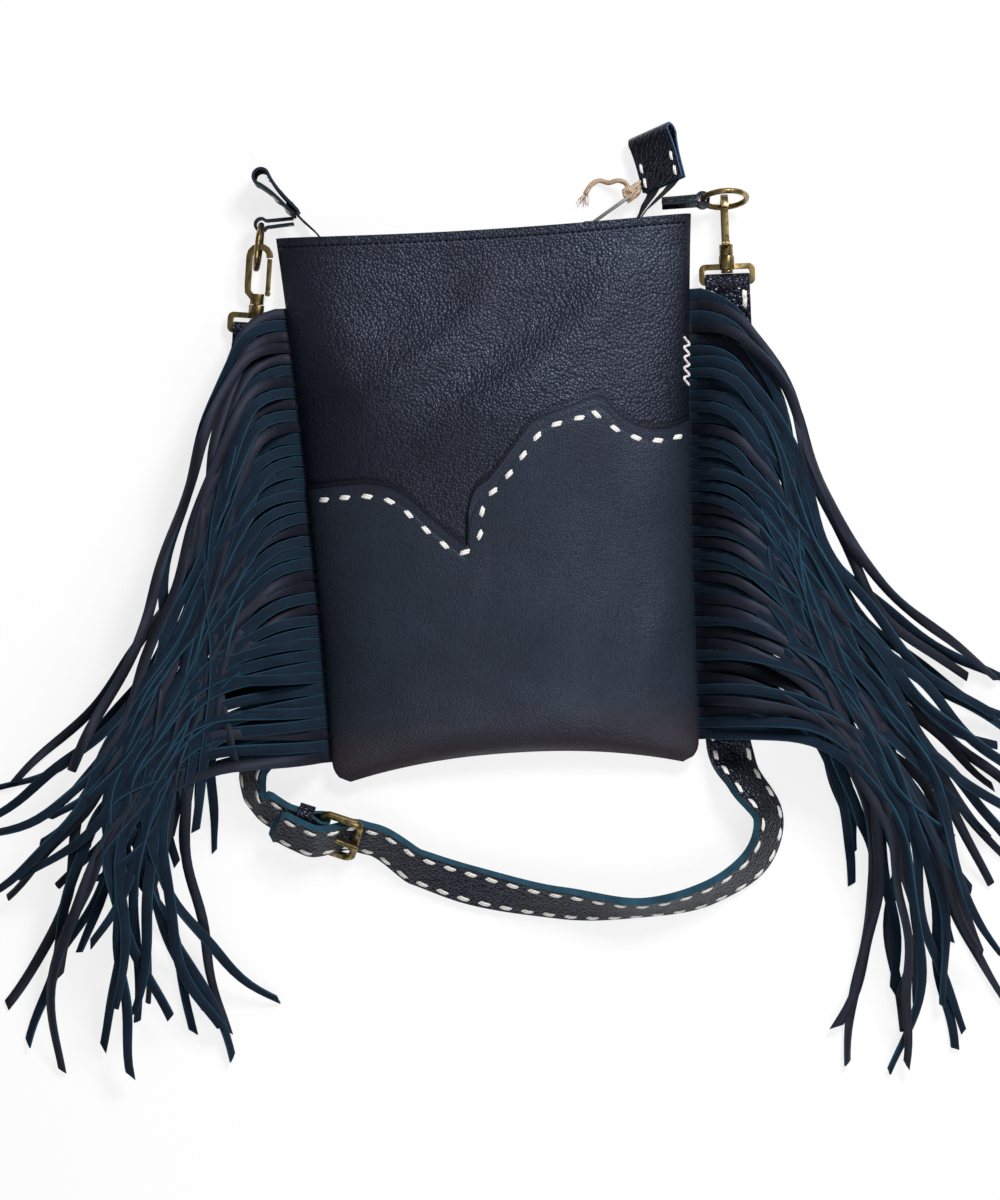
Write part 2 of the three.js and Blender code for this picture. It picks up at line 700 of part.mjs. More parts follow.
// The slot in the strap's fold where the prong's eye turns
function prongSlot() {
  const slot = new THREE.BoxGeometry(2 * PRONG_EYE + 2, 2 * PRONG_EYE + 4, PRONG + 4 * CLEARANCE);
  return slot.translate(HEEL_X, 0, 0).applyMatrix4(buckleProfile);
}

function keeper() {
  const room = [STRAP_WIDTH + 2 * KEEPER_ROOM, STRAP_THICKNESS + 2 * KEEPER_ROOM];
  const outline = roundedRectangle(room[0] + 2 * KEEPER_LEATHER, room[1] + 2 * KEEPER_LEATHER, 2);
  outline.holes.push(roundedRectangle(...room, 0.5, new THREE.Path()));
  return slab(outline, KEEPER_WIDTH).rotateY(Math.PI / 2).translate(KEEPER_X, 0, 0);
}

// Each snap hook: where its swivel sits, the way its nose points and the way its face looks
const HOOKS = {
  left: { swivel: [-132, 118.5, 5.6], nose: [0.13, 1, 0.06], face: [0, 0, 1] },
  right: { swivel: [137.4, 130, 7.9], nose: [0.02, 1, 0], face: [-1, 0, 0] },
};

const RINGS = {
  left: {
    centre: [-128.4, 150.4, 14.7], across: [0.18, 0.984, 0], normal: [0.984, -0.18, 0],
    wire: [-126.1, 162.9, 14.7], wireAlong: [0, 0, 1], legs: [1, 0.05, 0], reach: 18.5,
  },
  right: {
    centre: [137.8, 161.2, 18.2], across: [1, 0, 0], normal: [0, 0.956, -0.292],
    wire: [125.1, 161.2, 18.2], wireAlong: [0, 0.292, 0.956], legs: [-1, -0.02, 0], reach: 23,
  },
};

// Marks the swivel, its loop and the strap's fold, which the fringe lies over
function stampSwivel(hook) {
  const nose = new THREE.Vector3(...hook.nose).normalize();
  const start = new THREE.Vector3(...hook.swivel);
  const bar = start.clone().addScaledVector(nose, LOOP_BAR_Y + 6);
  const end = start.clone().addScaledVector(nose, LOOP_BAR_Y - FOLD_REACH);
  const fold = LOOP_BAR * 0.71 + CLEARANCE + STRAP_THICKNESS / 2;
  footprint(bar, end, STRAP_WIDTH + 2, (x, y) => raise(x, y, start.z + fold));
  footprint(start.addScaledVector(nose, 8), bar, BOSS_RADIUS * 2 + 2, (x, y) => raise(x, y, start.z + BOSS_RADIUS));
}

// Strap end that folds round the loop's bar, its two plies running on along +Y
const FOLD_REACH = 9.5;

function strapEnd() {
  const ply = STRAP_THICKNESS / 4;
  const radius = LOOP_BAR * 0.75 + CLEARANCE + ply;
  const line = [[ply, FOLD_REACH], [ply + 0.4, FOLD_REACH - 3]];
  for (let i = 0; i <= 8; i++) {
    const angle = (i / 8) * Math.PI;
    line.push([Math.cos(angle) * radius, -Math.sin(angle) * radius]);
  }
  line.push([-ply - 0.4, FOLD_REACH - 3], [-ply, FOLD_REACH]);
  return slab(bandShape(line, STRAP_THICKNESS / 2 - 0.1), STRAP_WIDTH);
}

const LOOP_TOP = -5;
const LOOP_BAR_Y = LOOP_TOP - LOOP_LENGTH + LOOP_BAR / 2;

function hookFrame(hook) {
  const nose = new THREE.Vector3(...hook.nose).normalize();
  const face = new THREE.Vector3(...hook.face);
  face.addScaledVector(nose, -face.dot(nose)).normalize();
  const aside = new THREE.Vector3().crossVectors(nose, face);
  return frameAt(hook.swivel, aside.toArray(), face.toArray());
}

// Hook in its own frame: +Y to the nose, thickness along Z, gate on the +X side
function snapHook() {
  const line = [[HOOK_HALF * 0.55, 3]];
  line.push([-HOOK_HALF * 0.4, 3.4]);
  const noseY = HOOK_LENGTH - HOOK_HALF;
  line.push([-HOOK_HALF * 0.95, 7], [-HOOK_HALF, 11], [-HOOK_HALF, noseY - 3]);
  for (let i = 0; i <= 7; i++) {
    const angle = Math.PI - (i / 7) * Math.PI * 1.02;
    line.push([Math.cos(angle) * HOOK_HALF, noseY + Math.sin(angle) * HOOK_HALF]);
  }
  const body = slab(bandShape(line, HOOK_BAND), HOOK_THICKNESS);
  const base = cylinderBetween([0, -0.2, 0], [0, 6, 0], 3.9);
  const stem = cylinderBetween([0, -8.8, 0], [0, 1, 0], STEM_RADIUS);
  const head = cylinderBetween([0, -10.2, 0], [0, -8.7, 0], STEM_RADIUS + 1.4);
  const seat = new THREE.BoxGeometry(GATE_WIDTH + 1, 2 * GATE_WIDTH + 1, HOOK_THICKNESS + 6);
  seat.translate(HOOK_HALF, 6.2, 0);
  return cut(join([body, base, stem, head]), [seat]);
}

const GATE_PIVOT = [HOOK_HALF, 6.4];

function snapGate() {
  const length = HOOK_LENGTH - HOOK_HALF - GATE_PIVOT[1] - HOOK_BAND * 0.1 - CLEARANCE * 2;
  const bar = new THREE.BoxGeometry(GATE_WIDTH, length, HOOK_THICKNESS - 0.6);
  bar.translate(GATE_PIVOT[0], GATE_PIVOT[1] + length / 2, 0);
  const knuckle = cylinderBetween(
    [...GATE_PIVOT, -HOOK_THICKNESS / 2], [...GATE_PIVOT, HOOK_THICKNESS / 2], GATE_WIDTH / 2 + 0.3,
  );
  return join([bar, knuckle]);
}

function snapLoop() {
  const frame = roundedRectangle(LOOP_WIDTH, LOOP_LENGTH, 3.4);
  const inner = [LOOP_WIDTH, LOOP_LENGTH].map((size) => size - 2 * LOOP_BAR);
  frame.holes.push(roundedRectangle(...inner, 1.2, new THREE.Path()));
  const ring = slab(frame, LOOP_BAR).translate(0, LOOP_TOP - LOOP_LENGTH / 2, 0);
  const boss = cylinderBetween([0, LOOP_TOP - LOOP_BAR - 0.1, 0], [0, -0.5, 0], BOSS_RADIUS);
  const bore = cylinderBetween([0, -20, 0], [0, 2, 0], STEM_RADIUS + CLEARANCE);
  const relief = cylinderBetween([0, -12, 0], [0, LOOP_TOP - LOOP_BAR - 0.1, 0], STEM_RADIUS + 2);
  return cut(join([ring, boss]), [bore, relief]);
}

function ring() {
  return new THREE.TorusGeometry(RING_RADIUS, RING_WIRE, 8, 22);
}

// The tab that holds a ring: two legs sewn to the zip tail and a loop round the wire
function ringTab(reach) {
  const wrap = RING_WIRE + RING_ROOM + PANEL / 2;
  const line = [[reach, PANEL / 2 + TAPE], [wrap * 1.5, PANEL / 2 + TAPE + 0.2]];
  for (let i = 0; i <= 8; i++) {
    const angle = 0.6 + (i / 8) * (2 * Math.PI - 1.2);
    line.push([Math.cos(angle) * wrap, Math.sin(angle) * wrap]);
  }
  line.push([wrap * 1.5, -PANEL / 2 - TAPE - 0.2], [reach, -PANEL / 2 - TAPE]);
  return slab(bandShape(line, PANEL), RING_TAB_WIDTH);
}

// The zip's centre line with the way its width points, from the left tail to the right one
function zipStations() {
  const upright = (x, y) => [new THREE.Vector3(x, y, CHAIN_Z), new THREE.Vector3(0, 0, 1)];
  const stations = LEFT_TAIL.map(([x, y]) => upright(x, y)).reverse();
  for (let i = 0; i <= 10; i++) {
    const x = mix(CHAIN_LEFT, CHAIN_RIGHT, i / 10);
    stations.push(upright(x, CHAIN_Y));
  }
  RIGHT_TAIL.forEach(([x, y], i) => {
    const share = (i + 1) / RIGHT_TAIL.length;
    const turn = new THREE.Vector3(0, 0, 1).lerp(RIGHT_TAB_WIDTH, share).normalize();
    stations.push([new THREE.Vector3(x, y, mix(CHAIN_Z, RIGHT_TAB_Z, share)), turn]);
  });
  return stations;
}

// How far the tape reaches from the chain, inside the mouth and in the open
function tapeReach(point, sign) {
  const u = Math.min(Math.abs(point.x) / halfWidth(point.y) + TAPE_MARGIN, 1);
  if (point.y > topY(u) + TAPE_FREE) {
    return TAPE_WIDTH / 2;
  }
  const front = frontHeight(u, point.y) - PANEL - HEM_EXTRA - TAPE_SEAT - CHAIN_Z;
  const back = CHAIN_Z - backHeight(u, point.y) - PANEL - HEM_EXTRA - TAPE_SEAT;
  return Math.min(sign > 0 ? front : back, TAPE_WIDTH / 2);
}

function zipTape(sign) {
  const stations = zipStations();
  const point = (u, t, offset) => {
    const i = Math.round(((u + 1) / 2) * (stations.length - 1));
    const [centre, width] = stations[i];
    const before = stations[Math.max(i - 1, 0)][0];
    const after = stations[Math.min(i + 1, stations.length - 1)][0];
    const face = new THREE.Vector3().crossVectors(width, after.clone().sub(before)).normalize();
    const inner = CHAIN_WIDTH / 2 + CLEARANCE;
    const reach = sign * mix(inner, Math.max(tapeReach(centre, sign), inner + CLEARANCE), t);
    return centre.clone().addScaledVector(width, reach).addScaledVector(face, offset).toArray();
  };
  const geometry = gridSolid(
    stations.length - 1, 1,
    (u, t) => point(u, t, TAPE / 2),
    (u, t) => point(u, t, -TAPE / 2),
  );
  return outward(geometry);
}

// Half of the zip's teeth, a comb whose teeth point at the other half
function zipTeeth(sign) {
  const outer = CHAIN_WIDTH / 2;
  const root = outer - 0.9;
  const tip = CHAIN_GAP / 2;
  const comb = new THREE.Shape();
  const count = Math.floor((CHAIN_RIGHT - CHAIN_LEFT - 2) / TOOTH_PITCH);
  comb.moveTo(0, outer);
  for (let i = 0; i < count; i++) {
    const x = i * TOOTH_PITCH;
    comb.lineTo(x, root);
    comb.lineTo(x + TOOTH_PITCH * 0.2, tip);
    comb.lineTo(x + TOOTH_PITCH * 0.6, tip);
    comb.lineTo(x + TOOTH_PITCH * 0.8, root);
  }
  comb.lineTo(count * TOOTH_PITCH, root);
  comb.lineTo(count * TOOTH_PITCH, outer);
  const geometry = slab(comb, CHAIN_THICKNESS);
  geometry.rotateX(Math.PI / 2);
  if (sign < 0) {
    geometry.rotateX(Math.PI);
  }
  return geometry.translate(CHAIN_LEFT + 1, CHAIN_Y, CHAIN_Z);
}

function zipSlider() {
  const height = CHAIN_THICKNESS + 2 * CLEARANCE + 2 * SLIDER_WALL;
  const width = CHAIN_WIDTH + 2 * CLEARANCE + 2 * SLIDER_WALL;
  const outline = roundedRectangle(SLIDER_LENGTH, width, 2.2);
  const body = slab(outline, height).rotateX(Math.PI / 2);
  const channelHeight = CHAIN_THICKNESS + 2 * CLEARANCE;
  const post = 0.4;
  const channelWidth = CHAIN_WIDTH / 2 + CLEARANCE - post;
  const channels = [-1, 1].map((sign) => {
    const channel = new THREE.BoxGeometry(SLIDER_LENGTH + 2, channelHeight, channelWidth);
    return channel.translate(0, 0, sign * (post + channelWidth / 2));
  });
  const slot = [-1, 1].map((sign) => {
    const side = new THREE.BoxGeometry(SLIDER_LENGTH + 2, TAPE + 2 * CLEARANCE, width);
    return side.translate(0, 0, sign * (post + 1 + width / 2));
  });
  const bridge = slab(bandShape([[-3.4, 0], [-3.4, 3], [-2.4, 4], [2.4, 4], [3.4, 3], [3.4, 0]], 1), 2);
  bridge.translate(0, height / 2 - 0.3, 0);
  const solid = join([cut(body, [...channels, ...slot]), bridge]);
  return solid.translate(SLIDER_X, CHAIN_Y, CHAIN_Z);
}

const BRIDGE_Y = CHAIN_Y + CHAIN_THICKNESS / 2 + CLEARANCE + SLIDER_WALL + 1.6;

// Puller in its own frame: its pin under the slider's bridge at the origin, the bar along +X
function zipPuller() {
  const pin = PULLER_THICKNESS / 2;
  const bar = roundedRectangle(PULLER_LENGTH, PULLER_WIDTH, 0.8);
  const plate = slab(bar, PULLER_THICKNESS).translate(PULLER_LENGTH / 2 - pin, 0, 0);
  const eye = slab(roundedRectangle(4.8, 3.2, 0.4), PULLER_THICKNESS + 2).translate(pin + 2.4, 0, 0);
  const twineHole = cylinderBetween([PULLER_LENGTH - 5, 0, -3], [PULLER_LENGTH - 5, 0, 3], 1.8);
  return cut(plate, [eye, twineHole]);
}

// The leather tab folded over the end of the zip, along +X in its own frame
function zipTab() {
  const gap = TAPE / 2 + CLEARANCE + TAB_LEATHER / 2;
  const bulge = 4.4;
  const line = [[0, gap], [TAB_LENGTH * 0.5, gap + 0.3]];
  for (let i = 0; i <= 8; i++) {
    const angle = 2.2 - (i / 8) * 4.4;
    line.push([TAB_LENGTH - bulge - TAB_LEATHER / 2 + Math.cos(angle) * bulge, Math.sin(angle) * bulge]);
  }
  line.push([TAB_LENGTH * 0.5, -gap - 0.3], [0, -gap]);
  return slab(bandShape(line, TAB_LEATHER), TAB_WIDTH);
}

function outward(geometry) {
  if (toSolid(geometry).volume() < 0) {
    geometry.setIndex(flipped([...geometry.index.array]));
  }
  return geometry;
}

// Bag and yoke
addNode('front_panel', frontPanel(), materials.grain);
addNode('back_panel', backPanel(), materials.grain);
addNode('yoke_underlay', yokeUnderlay(), materials.grain);
addNode('front_overlay', frontOverlay(), materials.grain);

// Zip
addNode('zip_tape_front', zipTape(1), materials.tape);
addNode('zip_tape_back', zipTape(-1), materials.tape);
addNode('zip_teeth_front', zipTeeth(1), materials.zip);
addNode('zip_teeth_back', zipTeeth(-1), materials.zip);
addNode('zip_slider', zipSlider(), materials.zip);
const pullerHeading = rad(PULLER_HEADING);
const pullerAlong = [Math.cos(pullerHeading), Math.sin(pullerHeading), 0];
const pullerFace = [-Math.sin(pullerHeading), Math.cos(pullerHeading), 0];
const pullerPlace = frameAt([SLIDER_X, BRIDGE_Y, CHAIN_Z], pullerAlong, pullerFace);
addNode('zip_puller', zipPuller(), materials.zip, pullerPlace);

const leftTabFrom = LEFT_TAIL[LEFT_TAIL.length - 2];
const leftTabTo = LEFT_TAIL[LEFT_TAIL.length - 1];
const leftTabAlong = [leftTabTo[0] - leftTabFrom[0], leftTabTo[1] - leftTabFrom[1], 0];
const LEFT_TAB_LAP = 0.6;
const LEFT_TAB_RISE = 2.2;
const leftTabStart = leftTabTo.map((v, i) => mix(v, leftTabFrom[i], LEFT_TAB_LAP));
const leftTabPlace = frameAt([...leftTabStart, CHAIN_Z + LEFT_TAB_RISE], leftTabAlong, [0, 0, 1]);
addNode('zip_tab_left', zipTab(), materials.grain, leftTabPlace);
const rightTabTo = RIGHT_TAIL[RIGHT_TAIL.length - 1];
const rightTabPlace = frameAt([...rightTabTo, RIGHT_TAB_Z], RIGHT_TAB_ALONG, RIGHT_TAB_WIDTH.toArray());
addNode('zip_tab_right', zipTab(), materials.grain, rightTabPlace);

// Rings, their tabs and the snap hooks
for (const [side, place] of Object.entries(RINGS)) {
  addNode(`ring_${side}`, ring(), materials.brass, frameAt(place.centre, place.across, place.normal));
  const tabPlace = frameAt(place.wire, place.legs, place.wireAlong);
  addNode(`ring_tab_${side}`, ringTab(place.reach), materials.grain, tabPlace);
}
for (const [side, hook] of Object.entries(HOOKS)) {
  const frame = hookFrame(hook);
  addNode(`snap_hook_${side}`, snapHook(), materials.brass, frame);
  addNode(`snap_gate_${side}`, snapGate(), materials.brass, frame);
  addNode(`snap_loop_${side}`, snapLoop(), materials.brass, hookFrame({ ...hook, face: [0, 0, 1] }));
}

// Strap, buckle and keeper
const longRoute = strapRoute(LONG_STRAP, 44);
const shortRoute = strapRoute(SHORT_STRAP, 24);
threadBuckle(longRoute, THREADED_LONG, -1);
longRoute.stations.push(new THREE.Vector3(...STRAP_TIP));
longRoute.asides.push(buckleAside.clone().negate());
threadBuckle(shortRoute, THREADED_SHORT, 1);
stampStrap(longRoute);
stampStrap(shortRoute);
const buckleEnds = [-0.5, 0.5].map((end) => new THREE.Vector3(end * BUCKLE_LENGTH, 0, 0));
const [heelEnd, farEnd] = buckleEnds.map((end) => end.applyMatrix4(buckleMatrix));
const buckleTop = BUCKLE.centre[2] + (BUCKLE_WIDTH / 2) * buckleAside.z + BUCKLE_BAR / 2;
footprint(heelEnd, farEnd, BUCKLE_WIDTH * 0.7, (x, y) => raise(x, y, buckleTop));
Object.values(HOOKS).forEach(stampSwivel);
heights.forEach((top, key) => hardware.set(key, top));

function endAt(hook) {
  const nose = new THREE.Vector3(...hook.nose).normalize();
  const bar = new THREE.Vector3(...hook.swivel).addScaledVector(nose, LOOP_BAR_Y);
  const aside = nose.clone().cross(new THREE.Vector3(0, 0, 1));
  return frameAt(bar.toArray(), [0, 0, 1], aside.toArray());
}

const heel = new THREE.Vector3(HEEL_X, 0, 0).applyMatrix4(buckleMatrix).toArray();
const heelFold = frameAt(heel, buckleFace.clone().negate().toArray(), buckleAside.toArray());
addNode('strap_long', cut(join([
  ribbon(longRoute.stations, STRAP_WIDTH, STRAP_THICKNESS, longRoute.asides),
  strapEnd().applyMatrix4(endAt(HOOKS.right)),
]), prongSweep()), materials.grain);
addNode('strap_short', cut(join([
  ribbon(shortRoute.stations, STRAP_WIDTH, STRAP_THICKNESS, shortRoute.asides),
  strapEnd().applyMatrix4(endAt(HOOKS.left)),
  strapEnd().applyMatrix4(heelFold),
]), [prongSlot()]), materials.grain);
addNode('buckle_frame', buckleFrame(), materials.brass, buckleMatrix);
addNode('buckle_prong', prong(), materials.brass, buckleProfile);
addNode('strap_keeper', keeper(), materials.grain, buckleProfile);

addNode('fringe_left', fringe(-1), materials.suede);
addNode('fringe_right', fringe(1), materials.suede);

export default group;
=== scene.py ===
import math
import random
import bmesh
import bpy
from mathutils import Matrix, Vector


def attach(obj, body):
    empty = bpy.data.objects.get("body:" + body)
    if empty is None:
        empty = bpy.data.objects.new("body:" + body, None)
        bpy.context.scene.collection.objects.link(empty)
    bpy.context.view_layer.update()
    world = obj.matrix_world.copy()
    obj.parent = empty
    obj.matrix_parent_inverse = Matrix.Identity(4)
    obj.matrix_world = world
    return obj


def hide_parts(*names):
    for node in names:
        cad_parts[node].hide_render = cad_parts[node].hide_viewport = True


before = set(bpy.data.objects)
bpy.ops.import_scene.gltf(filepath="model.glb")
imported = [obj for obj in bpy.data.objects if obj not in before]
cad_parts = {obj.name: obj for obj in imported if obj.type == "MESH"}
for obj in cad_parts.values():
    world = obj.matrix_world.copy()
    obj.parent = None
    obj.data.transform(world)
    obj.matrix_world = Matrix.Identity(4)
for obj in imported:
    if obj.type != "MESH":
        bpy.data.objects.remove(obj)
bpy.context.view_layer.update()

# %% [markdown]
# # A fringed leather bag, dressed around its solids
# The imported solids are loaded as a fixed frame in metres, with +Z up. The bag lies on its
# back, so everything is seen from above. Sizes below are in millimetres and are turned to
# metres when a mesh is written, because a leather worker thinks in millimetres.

MM = 0.001

# %% [markdown]
# ## The camera
# The photograph looks straight down with a long lens and is turned a little, so the bag
# leans to the left. A vertical sensor fit keeps the framing the same whatever the render's
# width. One photograph point covers 0.57 mm on the table.

# %% Camera
POINT, IMAGE_POINTS, CENTRE_POINTS = 0.57, 1200, 497
ROLL = math.radians(3.5)
CAMERA_HEIGHT, TRUE_SIZE_HEIGHT = 2.6, 0.012
IMAGE_TALL = IMAGE_POINTS * POINT * MM
centre_down = (CENTRE_POINTS - IMAGE_POINTS / 2) * POINT * MM
camera = bpy.data.objects.new("camera", bpy.data.cameras.new("camera"))
bpy.context.scene.collection.objects.link(camera)
camera.location = (centre_down * math.sin(ROLL), centre_down * math.cos(ROLL), CAMERA_HEIGHT)
camera.rotation_euler = (0, 0, -ROLL)
camera.data.sensor_fit = "VERTICAL"
camera.data.lens = camera.data.sensor_height * (CAMERA_HEIGHT - TRUE_SIZE_HEIGHT) / IMAGE_TALL
bpy.context.scene.camera = camera
bpy.context.scene.view_settings.view_transform = "Standard"
print("lens", round(camera.data.lens, 1))

# %% [markdown]
# ## Small helpers
# `mix` and `smooth` blend numbers, and `colour` turns an sRGB hex value to the linear numbers
# that a shader wants. `node` adds a shader node with its settings and links, and `ramp`,
# `maths` and `blend` add the three kinds used most and give back their result. `coat` links a
# material's colour and relief.

# %% Helpers
def mix(a, b, share):
    return a + (b - a) * share


def clamp(value, low=0.0, high=1.0):
    return min(max(value, low), high)


def smooth(value, low, high):
    share = clamp((value - low) / (high - low))
    return share * share * (3 - 2 * share)


def colour(hex_value):
    parts = [int(hex_value[i:i + 2], 16) / 255 for i in (1, 3, 5)]
    linear = [p / 12.92 if p <= 0.04045 else ((p + 0.055) / 1.055) ** 2.4 for p in parts]
    return (*linear, 1.0)


def node(tree, kind, links=None, **settings):
    new = tree.nodes.new("ShaderNode" + kind)
    for name, value in settings.items():
        setattr(new, name, value)
    for socket, value in (links or {}).items():
        if isinstance(value, bpy.types.NodeSocket):
            tree.links.new(value, new.inputs[socket])
        else:
            new.inputs[socket].default_value = value
    return new


def ramp(tree, value, low, high, to_low=0.0, to_high=1.0):
    return node(tree, "MapRange", {0: value, 1: low, 2: high, 3: to_low, 4: to_high}).outputs[0]


def maths(tree, operation, *values):
    return node(tree, "Math", dict(enumerate(values)), operation=operation).outputs[0]


def blend(tree, share, first, second, kind="MIX"):
    links = {0: share, 6: first, 7: second}
    return node(tree, "Mix", links, data_type="RGBA", blend_type=kind).outputs[2]


def start_material(name, roughness, metallic=0.0, gloss_tint=None):
    made = bpy.data.materials.new(name)
    made.use_nodes = True
    shader = made.node_tree.nodes["Principled BSDF"]
    shader.inputs["Roughness"].default_value = roughness
    shader.inputs["Metallic"].default_value = metallic
    if gloss_tint:
        shader.inputs["Specular Tint"].default_value = colour(gloss_tint)
    return made, made.node_tree, shader


def coat(made, dyed, height, strength, depth):
    tree = made.node_tree
    shader = tree.nodes["Principled BSDF"]
    tree.links.new(dyed, shader.inputs["Base Color"])
    bump = node(tree, "Bump", {"Height": height, "Strength": strength, "Distance": depth})
    tree.links.new(bump.outputs[0], shader.inputs["Normal"])
    return made


# %% [markdown]
# ## Grain leather
# The panels and straps are drum-dyed cow leather with its natural pebbled grain. The pebbles
# are domed cells of a Voronoi pattern with creases between them, and the colour is darkened
# in the creases as painted shade. A drawn-out noise adds wrinkles, and a coarse noise varies
# the dye. The lower front is worn brown at its foot, and the upper front is pulled in along
# the stitches of its hem. A thin band along the yoke's edges is darkened almost to black, for
# edge ink and painted shade.

# %% Grain leather
GLOSS_TINT = "#c0c9ea"
CREASE_HEIGHT, HEM_CREASE = 0.4, 0.0013
FOOT_WEAR, FOOT_FROM, FOOT_TO = "#33241e", -0.118, -0.150


def along_sheet(tree):
    lay_map = node(tree, "UVMap", uv_map="lay")
    return node(tree, "SeparateXYZ", {0: lay_map.outputs[0]}).outputs[1]


def grain_leather(name, deep, worn, cell_mm, roughness, relief, foot=0.0, hem=0.0, edge_ink_and_shade=None):
    made, tree, shader = start_material(name, roughness, gloss_tint=GLOSS_TINT)
    place = node(tree, "TexCoord").outputs["Object"]
    warp = node(tree, "TexNoise", {"Vector": place, "Scale": 120.0, "Detail": 1.0})
    bent = node(tree, "Mix", {0: 0.0022, 4: place, 5: warp.outputs["Color"]}, data_type="VECTOR")
    cell = {"Vector": bent.outputs[1], "Scale": 1000 / cell_mm}
    dome = node(tree, "TexVoronoi", {**cell, "Smoothness": 0.35}, feature="SMOOTH_F1")
    cells = node(tree, "TexVoronoi", cell, feature="DISTANCE_TO_EDGE")
    crease = ramp(tree, cells.outputs["Distance"], 0.0, 0.16, 0.0, CREASE_HEIGHT)
    pebble = maths(tree, "SUBTRACT", crease, dome.outputs["Distance"])
    drawn = node(tree, "Mapping", {"Vector": place, "Scale": (0.3, 1.0, 0.3)})
    wrinkle = node(tree, "TexNoise", {"Vector": drawn.outputs[0], "Scale": 240.0, "Detail": 2.0})
    surface = maths(tree, "MULTIPLY_ADD", wrinkle.outputs["Fac"], 0.9, pebble)
    cloud = node(tree, "TexNoise", {"Vector": place, "Scale": 22.0, "Detail": 4.0,
                                    "Roughness": 0.6}).outputs["Fac"]
    body = blend(tree, ramp(tree, cloud, 0.35, 0.68), colour(deep), colour(worn))
    # Painted shade: the creases between the pebbles are darkened in the colour.
    painted_crease_shade = ramp(tree, crease, 0.0, CREASE_HEIGHT, 0.6, 1.0)
    body = blend(tree, 1.0, body, painted_crease_shade, "MULTIPLY")
    if foot:
        height = node(tree, "SeparateXYZ", {0: place}).outputs[1]
        body = blend(tree, ramp(tree, height, FOOT_FROM, FOOT_TO, 0.0, foot), body,
                     colour(FOOT_WEAR))
    # Edge ink and painted shade: a thin band along one edge of the sheet is darkened almost to
    # black.
    if edge_ink_and_shade:
        ink_and_shade_margin = ramp(tree, along_sheet(tree), *edge_ink_and_shade, 1.0, 0.05)
        body = blend(tree, 1.0, body, ink_and_shade_margin, "MULTIPLY")
        shader.inputs["Specular IOR Level"].default_value = 0.45
    gloss = ramp(tree, cloud, 0.3, 0.7, roughness + 0.06, roughness - 0.05)
    tree.links.new(gloss, shader.inputs["Roughness"])
    if hem:
        near_row = maths(tree, "ABSOLUTE", maths(tree, "SUBTRACT", along_sheet(tree), hem))
        surface = maths(tree, "ADD", surface, ramp(tree, near_row, 0.0, HEM_CREASE, -2.2, 0.0))
    return coat(made, body, surface, relief, 0.0009)


HEM_DOWN, PANEL_TALL, SHEET_TALL, SHEET_WIDE = 5.2, 304, 310, 220
upper_grain = grain_leather("pebbled_cow_leather", "#0c0f15", "#151a24", 1.9, 0.41, 0.34,
                            hem=SHEET_TALL * (1 - HEM_DOWN / PANEL_TALL) * MM)
lower_grain = grain_leather("smoother_cow_leather", "#191f27", "#242b35", 1.6, 0.46, 0.2,
                            foot=0.6, edge_ink_and_shade=(0.1835, 0.1862))
peek_grain = grain_leather("peeking_leather_inked_and_shaded_edge", "#12161d", "#1a1f28", 1.8, 0.46, 0.2,
                           edge_ink_and_shade=(0.0138, 0.0152))
back_grain = grain_leather("back_cow_leather", "#12161d", "#1c222c", 2.0, 0.46, 0.3)
strap_grain = grain_leather("strap_leather", "#08090e", "#15171f", 2.2, 0.32, 0.6)
tab_grain = grain_leather("glossy_tab_leather", "#050609", "#0e1016", 2.4, 0.26, 0.5)

# %% [markdown]
# ## Suede and cut edges
# A fringe strip is split leather. One side is brushed flesh, a deep teal-blue nap that takes
# no gloss. The other side is the thin dyed grain, and the cut edges show the bluest fibres.
# The nap follows the strip, so it is read from the piece's own UV map, which is in metres.
# A lighter band along the sides of a face is partly the fuzz of the cut and partly painted
# highlight.

# %% Suede
STRIP_MIDDLE, EDGE_FUZZ_AND_HIGHLIGHT_FROM = 0.0031, 0.0023


def nap_leather(name, deep, pale, roughness, sheen, streak, relief, edge_fuzz_and_highlight=None):
    made, tree, shader = start_material(name, roughness, gloss_tint=GLOSS_TINT)
    place = node(tree, "UVMap", uv_map="lay").outputs[0]
    long_way = node(tree, "Mapping", {"Vector": place, "Scale": (1.0, streak, 1.0)})
    fibre = node(tree, "TexNoise", {"Vector": long_way.outputs[0], "Scale": 1300.0,
                                    "Detail": 4.0}).outputs["Fac"]
    patch = node(tree, "TexNoise", {"Vector": place, "Scale": 60.0, "Detail": 3.0})
    both = maths(tree, "MULTIPLY_ADD", fibre, 0.5, patch.outputs["Fac"])
    dyed = blend(tree, ramp(tree, both, 0.5, 1.0), colour(deep), colour(pale))
    # Fuzz of the cut and painted highlight: a lighter teal band along both sides of the face.
    if edge_fuzz_and_highlight:
        across = node(tree, "SeparateXYZ", {0: place}).outputs[0]
        aside = maths(tree, "ABSOLUTE", maths(tree, "SUBTRACT", across, STRIP_MIDDLE))
        dyed = blend(tree, ramp(tree, aside, EDGE_FUZZ_AND_HIGHLIGHT_FROM, STRIP_MIDDLE), dyed,
                     colour(edge_fuzz_and_highlight))
    shader.inputs["Sheen Weight"].default_value = sheen
    shader.inputs["Sheen Roughness"].default_value = 0.45
    shader.inputs["Sheen Tint"].default_value = colour("#6d9ab0")
    return coat(made, dyed, fibre, relief, 0.0004)


